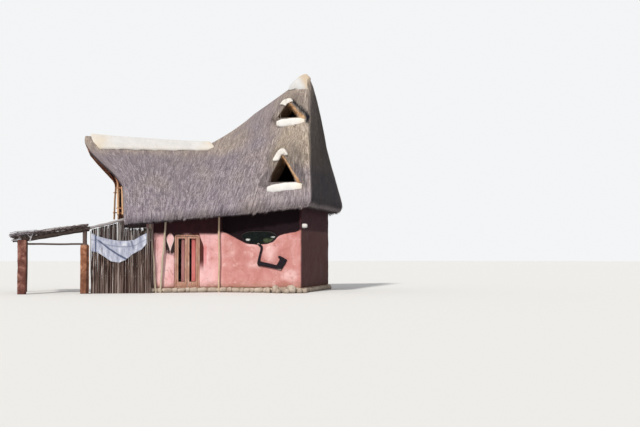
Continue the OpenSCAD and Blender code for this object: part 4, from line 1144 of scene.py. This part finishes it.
# One turn of cord round a pole, a little aslant
turn = np.linspace(0, 2 * pi, 17)
ring = np.outer(np.cos(turn), [cord_slant, cord_out, 0]) + np.outer(np.sin(turn), [0, 0, cord_out])
purlins, bent, wraps, laths = [], [], [], []
for side in ("front", "back"):
    for v in purlin_shares:
        tip = verge_in(side, v)
        wall = on_wing(-wing_len + 0.04, 0, slope_point(side, gable_u, v, purlin_k)[2])
        wall[1] = tip[1]
        end = pole_off(1, v) - verge_r - 0.025
        purlins.append((straight(wall, tip - [tenon_from, 0, 0], 12),
                        np.linspace(purlin_r, tenon_r + 0.006, 12)))
        purlins.append((straight(tip - [0.01, 0, 0], tip + [end, 0, 0], 4), tenon_r * 0.95))
        for number in (0, 1):
            middle = tip + [pole_off(number, v), 0, 0]
            wraps += [(middle + ring + [step * cord_step, 0, 0], cord_r) for step in (-1, 0, 1)]
    for number in (0, 1):
        bent.append(([verge_in(side, v) + [pole_off(number, v), 0, 0] for v in np.linspace(0.2, 0.88, 22)],
                     np.linspace(0.8, 1, 22) * verge_r))
    for number, inset in enumerate((0.03, 0.09, 0.15)):
        laths.append(([slope_point(side, 0, v, verge_thin + 0.05) + [inset, 0, 0]
                       for v in np.linspace(0.05 + 0.01 * number, 0.97, 26)], 0.011))
ridge_ends = [on_wing(x, house_depth / 2, ridge_line(np.array([u]), purlin_k)[0][2] - 0.06)
              for x, u in ((-wing_len + 0.04, gable_u), (-wing_len - verge_tip + 0.26, 0.0))]
purlins.append((straight(*ridge_ends, 14), np.linspace(purlin_r * 1.2, purlin_r, 14)))
dress(rods("gable_purlin_poles", purlins, 14, 0.012, 2), red_gum, ("gable_purlins",))
gum = Finish("bent_gum_pole", Roughness=0.8)
fibre = gum.fibres()
gum.paint(gum.ramp(fibre, (0.3, 0.13, 0.032, 0.018), (0.72, 0.52, 0.22, 0.12), (0.5, 0.30, 0.09, 0.045)))
cream = gum.ramp(fibre, (0.3, 0.30, 0.13, 0.06), (0.72, 0.80, 0.58, 0.40), (0.5, 0.62, 0.38, 0.22))
gum.paint(cream, gum.axis("Z") + fibre * 0.5, 4.6, 3.9)
gum.bump(fibre, 0.003)
dress(rods("verge_bent_poles", bent, 14, 0.02, 5), gum, ("verge_poles",))
dress(rods("verge_laths", laths, 6, 0.012, 8), red_gum)
sisal = pole_finish("sisal_cord", (0.30, 0.22, 0.13), (0.46, 0.36, 0.24), (0.62, 0.52, 0.38), 0.001)
dress(rods("verge_lashings", wraps, 5), sisal)

# Eave posts and beam end
# Thin peeled poles stand close to the wall and steady the eave. The end of one wall beam
# shows at the tower's corner.
post_r, plinth_out, bedded = 0.036, 0.06, 0.02
post_line = -plinth_out - post_r - 0.0003
posts = []
for foot, lean, top in ((-wing_len + 0.086, -5, None), (-wing_len + 0.245, 4, None),
                        (-0.05, 0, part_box("eave_posts")[1].z - bedded)):
    u = (foot + wing_len + verge_eave) / (wing_len + verge_eave + tower_len + hip_over)
    high = top or slope_point("front", u, 0.9, 1.0)[2] + bedded
    posts.append((straight(on_wing(foot, post_line, 0.005),
                           on_wing(foot + tan(radians(lean)) * high, post_line, high), 16), post_r))
dress(rods("eave_peeled_poles", posts[:2], 12, 0.03, 3), pale, ("eave_posts",))
olive = pole_finish("olive_gum_pole", (0.26, 0.17, 0.10), (0.60, 0.44, 0.30), (0.85, 0.68, 0.52))
dress(rods("eave_olive_pole", posts[2:], 12, 0.03, 3), olive)
beam_end = straight(on_tower(tower_len - 0.02, -0.15, 2.42), on_tower(tower_len + 0.178, -0.15, 2.42), 6)
sawn = pole_finish("sawn_beam_end", (0.50, 0.47, 0.44), (0.78, 0.75, 0.71), (0.92, 0.89, 0.86))
beam_radii = [0.076, 0.079, 0.08, 0.08, 0.074, 0.056]
dress(rods("beam_end_log", [(beam_end, beam_radii)], 20), sawn, ("beam_end",))

# Porch
# Two clay-plastered pillars in front and two posts behind carry sloping beams. Rough poles
# and a heap of cut brush lie across the beams for shade.
porch_end, porch_inner, porch_depth, porch_y = 7.28, 4.83, 2.3, -0.15
beam_z_left, beam_z_inner, beam_r, pillar_w, pillar_h = 1.93, 2.36, 0.065, 0.3, 1.72
outer_x, inner_x, porch_back = -porch_end + 0.33, -porch_inner, porch_y + porch_depth
porch_middle = (outer_x + inner_x) / 2
beam_slope = np.arctan((beam_z_inner - beam_z_left) / (porch_end - porch_inner))


def beam_z(x):
    """The height of a beam's middle at a place along the porch."""
    return mix(beam_z_left, beam_z_inner, (x + porch_end) / (porch_end - porch_inner)) - beam_r


pillars = merged_copy("porch_pillar_clay", "porch_pillars")
soften(pillars, 0.028, 4)
spots = places(pillars.data)
swell(pillars, 0.011 * lumps(spots, 0.3, 6) + 0.005 * lumps(spots, 0.09, 2))
spots = places(pillars.data)
front_x = spots[:, 0] - bend_place[0]
groove_x = -4.735
groove = np.exp(-((front_x - groove_x) / 0.03) ** 2) * smooth_step(bend_place[1] - spots[:, 1], -0.05, 0.1)
spots[:, 1] += 0.03 * groove
spots[:, 2] = np.maximum(spots[:, 2], 0.0)
put(pillars.data, spots)
mark(pillars, "groove", groove)
mark(pillars, "outer", front_x < porch_middle)
mark(pillars, "timber", smooth_step(spots[:, 2], pillar_h - 0.03, pillar_h + 0.03) * (front_x > porch_middle))
clay = Finish("brown_clay", Roughness=0.93)
smear = clay.grain(5, 6, 0.65)
drip = clay.grain(3, 4, place=clay.stretched(4, 4, 0.4))
clay.paint(clay.ramp(smear, (0.3, 0.13, 0.045, 0.022), (0.72, 0.60, 0.33, 0.21), (0.5, 0.34, 0.135, 0.07)))
# Painted shade: the pillars are painted darker towards the foot
clay.paint((0.11, 0.05, 0.035), clay.axis("Z") + smear * 0.4, 1.3, 0.8, 0.5)
clay.paint(clay.ramp(smear, (0.3, 0.055, 0.020, 0.018), (0.72, 0.42, 0.21, 0.17), (0.5, 0.16, 0.060, 0.050)),
           "outer", most=0.9)
# Painted shade: the groove is painted nearly black
clay.paint((0.03, 0.012, 0.01), "groove")
clay.paint((0.17, 0.08, 0.05), drip, 0.5, 0.7, 0.5)
clay.paint((0.12, 0.08, 0.07), "timber")
clay.bump(smear + clay.grain(40, 4) * 0.2, 0.02)
dress(pillars, clay, ("porch_pillars",))

dark_wood = pole_finish("dark_rough_wood", (0.045, 0.028, 0.024), (0.12, 0.085, 0.075),
                        (0.27, 0.21, 0.185), 0.006)
beam_from, beam_to = -porch_end + 0.004, inner_x + 0.166
beams = [(straight(on_wing(beam_from, y, beam_z(beam_from)), on_wing(beam_to, y, beam_z(beam_to)), 30),
          beam_r * (0.94 + 0.06 * np.sin(np.arange(30) * 1.3))) for y in (porch_y, porch_back)]
dress(rods("porch_beam_logs", beams, 16, 0.02, 4), dark_wood, ("porch_beams",))
back_posts = [(straight(on_wing(x, porch_back, 0.001), on_wing(x, porch_back, beam_z(x) - beam_r * 0.8), 12),
               0.064) for x in (outer_x, inner_x)]
dress(rods("porch_back_poles", back_posts, 14, 0.02, 6), dark_wood, ("porch_back_posts",))
rail_z = pillar_h + 0.035
rail = (straight(on_wing(outer_x + pillar_w / 2 - 0.01, porch_y, rail_z),
                 on_wing(inner_x - 0.075, porch_y, rail_z), 18), 0.034)
dress(rods("porch_rail_pole", [rail], 12, 0.03, 9), dark_wood, ("porch_rail",))

roof_pole_r, roof_pole_count = 0.032, 14
pole_rise = (beam_r + roof_pole_r) / cos(beam_slope)
laid = []
for number in range(roof_pole_count):
    x = mix(-porch_end + 0.06, inner_x + 0.06, number / (roof_pole_count - 1))
    far_x = x + 0.04 * sin(radians(number * 131))
    near_y = porch_y - 0.22 + 0.06 * sin(radians(number * 77))
    far_y = porch_back + 0.22 + 0.05 * sin(radians(number * 53))
    laid.append((straight(on_wing(x, near_y, beam_z(x) + pole_rise),
                          on_wing(far_x, far_y, beam_z(far_x) + pole_rise), 14), roof_pole_r))
dress(rods("porch_roof_sticks", laid, 10, 0.02, 7), dark_wood, ("porch_roof_poles",))

brush, brush_count = [], 820
for number in range(brush_count):
    lengthwise = number % 6
    x = hand.uniform(-porch_end + 0.05, inner_x + 0.08)
    y = mix(porch_y - 0.3, porch_back + 0.25, hand.random() ** 1.25)
    heap_share = (x + porch_end) / (porch_end + inner_x)
    heap = hand.random() ** 1.5 * mix(0.15, 0.004, heap_share) * (0.7 + 0.3 * sin(x * 5.0))
    base = beam_z(x) + beam_r + 2.1 * roof_pole_r + heap
    turn = hand.gauss(0.0, 0.22) if lengthwise else hand.uniform(0.6, 2.4)
    reach = hand.uniform(0.3, 1.1) if lengthwise else hand.uniform(0.2, 0.6)
    dx, dy = cos(turn) * reach, sin(turn) * reach
    x0, x1 = max(x - dx / 2, -porch_end - 0.1), min(x + dx / 2, inner_x + 0.12)
    z0, z1 = (base + (end - x) * tan(beam_slope) + hand.uniform(-0.012, 0.03) for end in (x0, x1))
    brush.append((straight(on_wing(x0, y - dy / 2, z0), on_wing(x1, y + dy / 2, z1), 4),
                  np.linspace(1, 0.45, 4) * hand.uniform(0.005, 0.013)))
brush_piece = rods("porch_brush", brush, 5, 0.05, 2)
spots = places(brush_piece.data)
front_x = spots[:, 0] - bend_place[0]
mark(brush_piece, "above", smooth_step(spots[:, 2] - beam_z(front_x), 0.09, 0.2))
mark(brush_piece, "outer", 1 - smooth_step(front_x, -6.6, -5.9))
bleached = Finish("bleached_brush", Roughness=0.85)
fibre = bleached.fibres(8)
each = bleached.grain(1, 3, 0.6, place=bleached.stretched(3.2, 18, 26))
silvery = bleached.ramp(fibre, (0.3, 0.22, 0.18, 0.18), (0.72, 0.66, 0.60, 0.60), (0.5, 0.42, 0.37, 0.37))
violet = bleached.ramp(fibre, (0.3, 0.06, 0.05, 0.065), (0.72, 0.34, 0.31, 0.36))
# Sticks low in the heap are painted dark as painted shade; those on top are pale silver, partly as bleached
# wood and partly as painted light
bleached.paint(bleached.ramp(fibre, (0.3, 0.03, 0.018, 0.016), (0.72, 0.19, 0.14, 0.13)))
bleached.paint(bleached.blend(bleached.attribute("outer") * 0.8, silvery, violet), "above")
bleached.paint((0.055, 0.035, 0.032), each, 0.50, 0.42, 0.88)
bleached.paint((0.74, 0.68, 0.67), each, 0.55, 0.66, 0.75)
bleached.bump(fibre, 0.003)
dress(brush_piece, bleached)
# The fork's two arms, and the pale stub at the beam's end
fork_x = -porch_end + 0.52
fork_z = beam_z(fork_x)
pale_sticks = [
    (straight(on_wing(fork_x + 0.06, porch_y - 0.14, fork_z - 0.12),
              on_wing(fork_x + 0.2, porch_y - 0.2, fork_z + 0.27), 8), np.linspace(0.02, 0.026, 8)),
    (straight(on_wing(fork_x + 0.1, porch_y - 0.155, fork_z + 0.02),
              on_wing(fork_x - 0.05, porch_y - 0.16, fork_z + 0.17), 6), np.linspace(0.02, 0.012, 6)),
    (straight(on_wing(-porch_end - 0.03, porch_y - 0.1, beam_z(-porch_end) + 0.02),
              on_wing(-porch_end + 0.3, porch_y - 0.1, beam_z(-porch_end + 0.3)), 6), 0.03)]
driftwood = pole_finish("bleached_driftwood", (0.34, 0.32, 0.34), (0.62, 0.60, 0.63), (0.85, 0.83, 0.85))
dress(rods("porch_pale_sticks", pale_sticks, 9, 0.03, 3), driftwood)

# Stick screen
# Cut sticks of all thicknesses stand side by side between the porch and the house, bound to
# two rails. A grey log slopes along their tops up to the thatch.
screen_from, screen_to = np.array([inner_x + 0.23, -0.175]), np.array([-wing_len - 0.12, -0.32])
screen_run = screen_to - screen_from
screen_dir = screen_run / np.linalg.norm(screen_run)
screen_out = np.array([screen_dir[1], -screen_dir[0]])
verge_x, log_r, free_top = -wing_len - verge_eave, 0.044, 2.3
log_from = np.array([inner_x, porch_y, beam_z(inner_x) - 0.01])
log_x = verge_x + 0.03
log_to = np.array([log_x, screen_from[1] + screen_run[1] * (log_x - screen_from[0]) / screen_run[0], 2.65])


def under_log(x):
    """The height of the top log's underside at a place along the screen."""
    return mix(log_from[2], log_to[2], (x - log_from[0]) / (log_to[0] - log_from[0])) - log_r


sticks, front_sticks, behind, back_sticks = [], 92, [], 104
for number in range(front_sticks):
    at = screen_from + screen_run * (number + hand.uniform(-0.3, 0.3)) / (front_sticks - 1)
    at = np.clip(at, np.minimum(screen_from, screen_to), np.maximum(screen_from, screen_to))
    drift = hand.gauss(0, 0.03)
    under = at[0] < verge_x - 0.02
    high = under_log(at[0] + drift) - 0.012 if under else free_top + hand.uniform(-0.09, 0.06)
    high -= hand.random() ** 4 * 0.35
    thick = hand.choice((0.008, 0.010, 0.012, 0.016, 0.019))
    foot = at + screen_out * hand.uniform(-0.012, 0.006)
    sticks.append((straight(on_wing(*foot, 0.002), on_wing(*(foot + screen_dir * drift), high), 9),
                   np.linspace(1, 0.7, 9) * thick))
for z in (0.62, 1.9):
    ends = (on_wing(*(end + screen_dir * past_end - screen_out * 0.034), z)
            for end, past_end in ((screen_from, -0.02), (screen_to, 0.02)))
    sticks.append((straight(*ends, 20), 0.015))
for number in range(back_sticks):
    share = np.clip((number + hand.uniform(-0.4, 0.4)) / (back_sticks - 1), 0.004, 0.996)
    at = screen_from + screen_run * share - screen_out * 0.066
    under = at[0] < verge_x - 0.02
    high = under_log(at[0]) - 0.03 if under else free_top + 0.03 + hand.uniform(-0.1, 0.05)
    behind.append((straight(on_wing(*at, 0.002), on_wing(*(at + screen_dir * hand.gauss(0, 0.012)), high), 7),
                   np.linspace(1, 0.75, 7) * hand.choice((0.014, 0.018, 0.022))))
screen_piece = rods("screen_sticks", sticks, 7, 0.035, 5)
mark(screen_piece, "low", 1 - smooth_step(places(screen_piece.data)[:, 2], 1.2, 1.9))
stick = Finish("screen_stick_bark", Roughness=0.85)
fibre = stick.fibres(5, 0.3)
each = stick.grain(1, 2, 0.5, place=stick.stretched(21, 21, 0.16))
stick.paint(stick.ramp(fibre, (0.3, 0.09, 0.075, 0.075), (0.7, 0.52, 0.47, 0.45), (0.5, 0.24, 0.21, 0.20)))
stick.paint(stick.ramp(fibre, (0.3, 0.06, 0.032, 0.024), (0.72, 0.38, 0.28, 0.23), (0.5, 0.16, 0.10, 0.08)),
            "low", most=0.85)
stick.paint((0.035, 0.014, 0.012), each, 0.50, 0.40, 0.9)
stick.paint((0.60, 0.53, 0.50), each, 0.56, 0.68, 0.7)
stick.bump(fibre, 0.003)
dress(screen_piece, stick, ("stick_screen",))
# Painted shade: a second row of near-black sticks behind the screen stands for the shade behind it
painted_shade_sticks = pole_finish("painted_shade_backing_stick", (0.012, 0.007, 0.006), (0.04, 0.025, 0.02), (0.11, 0.07, 0.055))
dress(rods("screen_back_sticks", behind, 6, 0.02, 7), painted_shade_sticks)
log_line = straight(on_wing(*(log_from + [0.08, 0, 0.02])), on_wing(*log_to), 26)
silver = pole_finish("silver_log", (0.10, 0.085, 0.085), (0.34, 0.31, 0.31), (0.62, 0.59, 0.58), 0.006)
log_radii = log_r * (1.08 + 0.14 * np.sin(np.arange(26) * 0.9))
dress(rods("screen_top_log", [(log_line, log_radii)], 14, 0.02, 4), silver, ("screen_log",))

# Hung cloth
# A white cotton sheet folded over a line on the screen, with two dark blue bands painted on it,
# one upright near its left end and one slanting across it. The short flap hangs in front and the
# long one sags behind it to an uneven hem.
cloth_w = 1.93
hung, wide, down = cloth_grid("hung_cotton_cloth", 110, 70)
across_m = wide * cloth_w - 0.01
top_line = np.interp(across_m, [-0.02, 0.22, 0.6, 0.92, 1.23, 1.475, 1.74, 1.93],
                     [2.15, 2.035, 1.93, 1.878, 1.873, 1.903, 2.06, 2.16])
low_line = np.interp(across_m, [0.0, 0.225, 0.47, 0.68, 0.96, 1.2, 1.445, 1.75, 1.93],
                     [1.50, 1.45, 1.29, 1.145, 1.095, 1.20, 1.41, 1.57, 1.79])
flap, flap_share = 0.20, 0.16
in_flap = down < flap_share
drop = np.where(in_flap, (flap_share - down) / flap_share * flap,
                (down - flap_share) / (1 - flap_share) * (top_line - low_line))
fold = np.sin(across_m * 21 + 1.5 * np.sin(across_m * 5)) * 0.5 + 0.5 * np.sin(across_m * 43 + 2)
depth = (np.where(in_flap, 0.022, 0.008) + fold * 0.007 * smooth_step(drop, 0.02, 0.3)
         + 0.004 * lumps(np.column_stack([across_m, drop, 0 * drop]), 0.2, 4))
off_screen = 0.018 + np.clip(depth, 0.001, 0.034)
plan = bend_place + screen_from + across_m[:, None] * screen_dir + off_screen[:, None] * screen_out
put(hung.data, np.column_stack([plan, top_line - drop]))
smooth(hung)
mark(hung, "across", across_m)
mark(hung, "drop", drop)
cotton = Finish("striped_cotton", Roughness=0.9)
a, d = cotton.attribute("across"), cotton.attribute("drop")
weave = cotton.node("TexWave", {"bands_direction": "X"},
                    {"Vector": cotton.place, "Scale": 160.0, "Distortion": 0.4}, out=1)
upright = cotton.level(abs(a - 0.14), 0.036, 0.024)
slant = cotton.meet((abs(a * 0.52 - d + 0.02), 0.045, 0.03), (d, 0.1, 0.16))
crease = cotton.meet((abs(a - d * 0.25 - 1.38), 0.06, 0.01), (d, 0.0, 0.04), (d, 0.42, 0.25))
haze = cotton.grain(3.5, 4, 0.6, place=cotton.stretched(2.2, 2.2, 0.6))
# The sheet is painted a cloudy blue-grey, partly as painted shade
cotton.paint(cotton.ramp(haze, (0.36, 0.26, 0.28, 0.38), (0.60, 0.55, 0.57, 0.68), (0.70, 0.80, 0.81, 0.87)))
cotton.paint((0.055, 0.075, 0.15), cotton.sum("MAXIMUM", upright, slant), most=0.92)
# Painted shade along a fold
cotton.paint((0.09, 0.11, 0.18), crease, most=0.75)
# Painted shadow under the front flap's hem
cotton.paint((0.24, 0.27, 0.38), abs(d - 0.225), 0.035, 0.005, 0.45)
cotton.paint((0.70, 0.71, 0.78), weave, most=0.08)
cotton.bump(cotton.grain(6, 4) * 0.6 + weave * 0.1, 0.01)
dress(hung, cotton, ("hung_cloth",))

# Studio
# A plain pale floor and backdrop, one large soft lamp high on the left and an even fill. The
# camera stands where the photograph was taken from.
bpy.ops.mesh.primitive_circle_add(vertices=96, radius=160, fill_type="NGON")
floor = bpy.context.object
floor.name = "floor"
paper = Finish("pale_paper", Roughness=0.9)
seen = paper.node("LightPath", out="Is Camera Ray")
paper.paint(paper.blend(seen, (0.62, 0.62, 0.62), (0.86, 0.85, 0.83)))
floor.data.materials.append(paper.material)

world = bpy.data.worlds.new("studio")
bpy.context.scene.world = world
world.use_nodes = True
tree = world.node_tree
back = tree.nodes["Background"]
back.inputs["Color"].default_value = (0.95, 0.97, 1.0, 1)
back.inputs["Strength"].default_value = 0.45
backdrop = tree.nodes.new("ShaderNodeBackground")
backdrop.inputs["Color"].default_value = (0.90, 0.91, 0.92, 1)
path = tree.nodes.new("ShaderNodeLightPath")
shown = path.outputs["Is Camera Ray"]
for ray in ("Is Glossy Ray", "Is Transmission Ray"):
    either = tree.nodes.new("ShaderNodeMath")
    either.operation = "MAXIMUM"
    tree.links.new(shown, either.inputs[0])
    tree.links.new(path.outputs[ray], either.inputs[1])
    shown = either.outputs[0]
mixed = tree.nodes.new("ShaderNodeMixShader")
for number, socket in enumerate((shown, back.outputs[0], backdrop.outputs[0])):
    tree.links.new(socket, mixed.inputs[number])
tree.links.new(mixed.outputs[0], tree.nodes["World Output"].inputs["Surface"])

lamp_side, lamp_height = radians(-36), radians(38)
bpy.ops.object.light_add(type="SUN", rotation=(pi / 2 - lamp_height, 0, lamp_side))
lamp = bpy.context.object.data
lamp.energy, lamp.angle, lamp.color = 2.9, radians(5), (1.0, 0.97, 0.92)

camera_place = (bend_place[0] - 4.927, bend_place[1] - 35.055, 1.4)
camera_turn, camera_tilt = radians(13.97), radians(2.43)
bpy.ops.object.camera_add(location=camera_place, rotation=(pi / 2 + camera_tilt, 0, -camera_turn))
camera = bpy.context.object
camera.data.sensor_width = 36
camera.data.lens = 956 / 640 * 36
camera.data.clip_end = 400
bpy.context.scene.camera = camera

bpy.context.scene.view_settings.view_transform = "Standard"
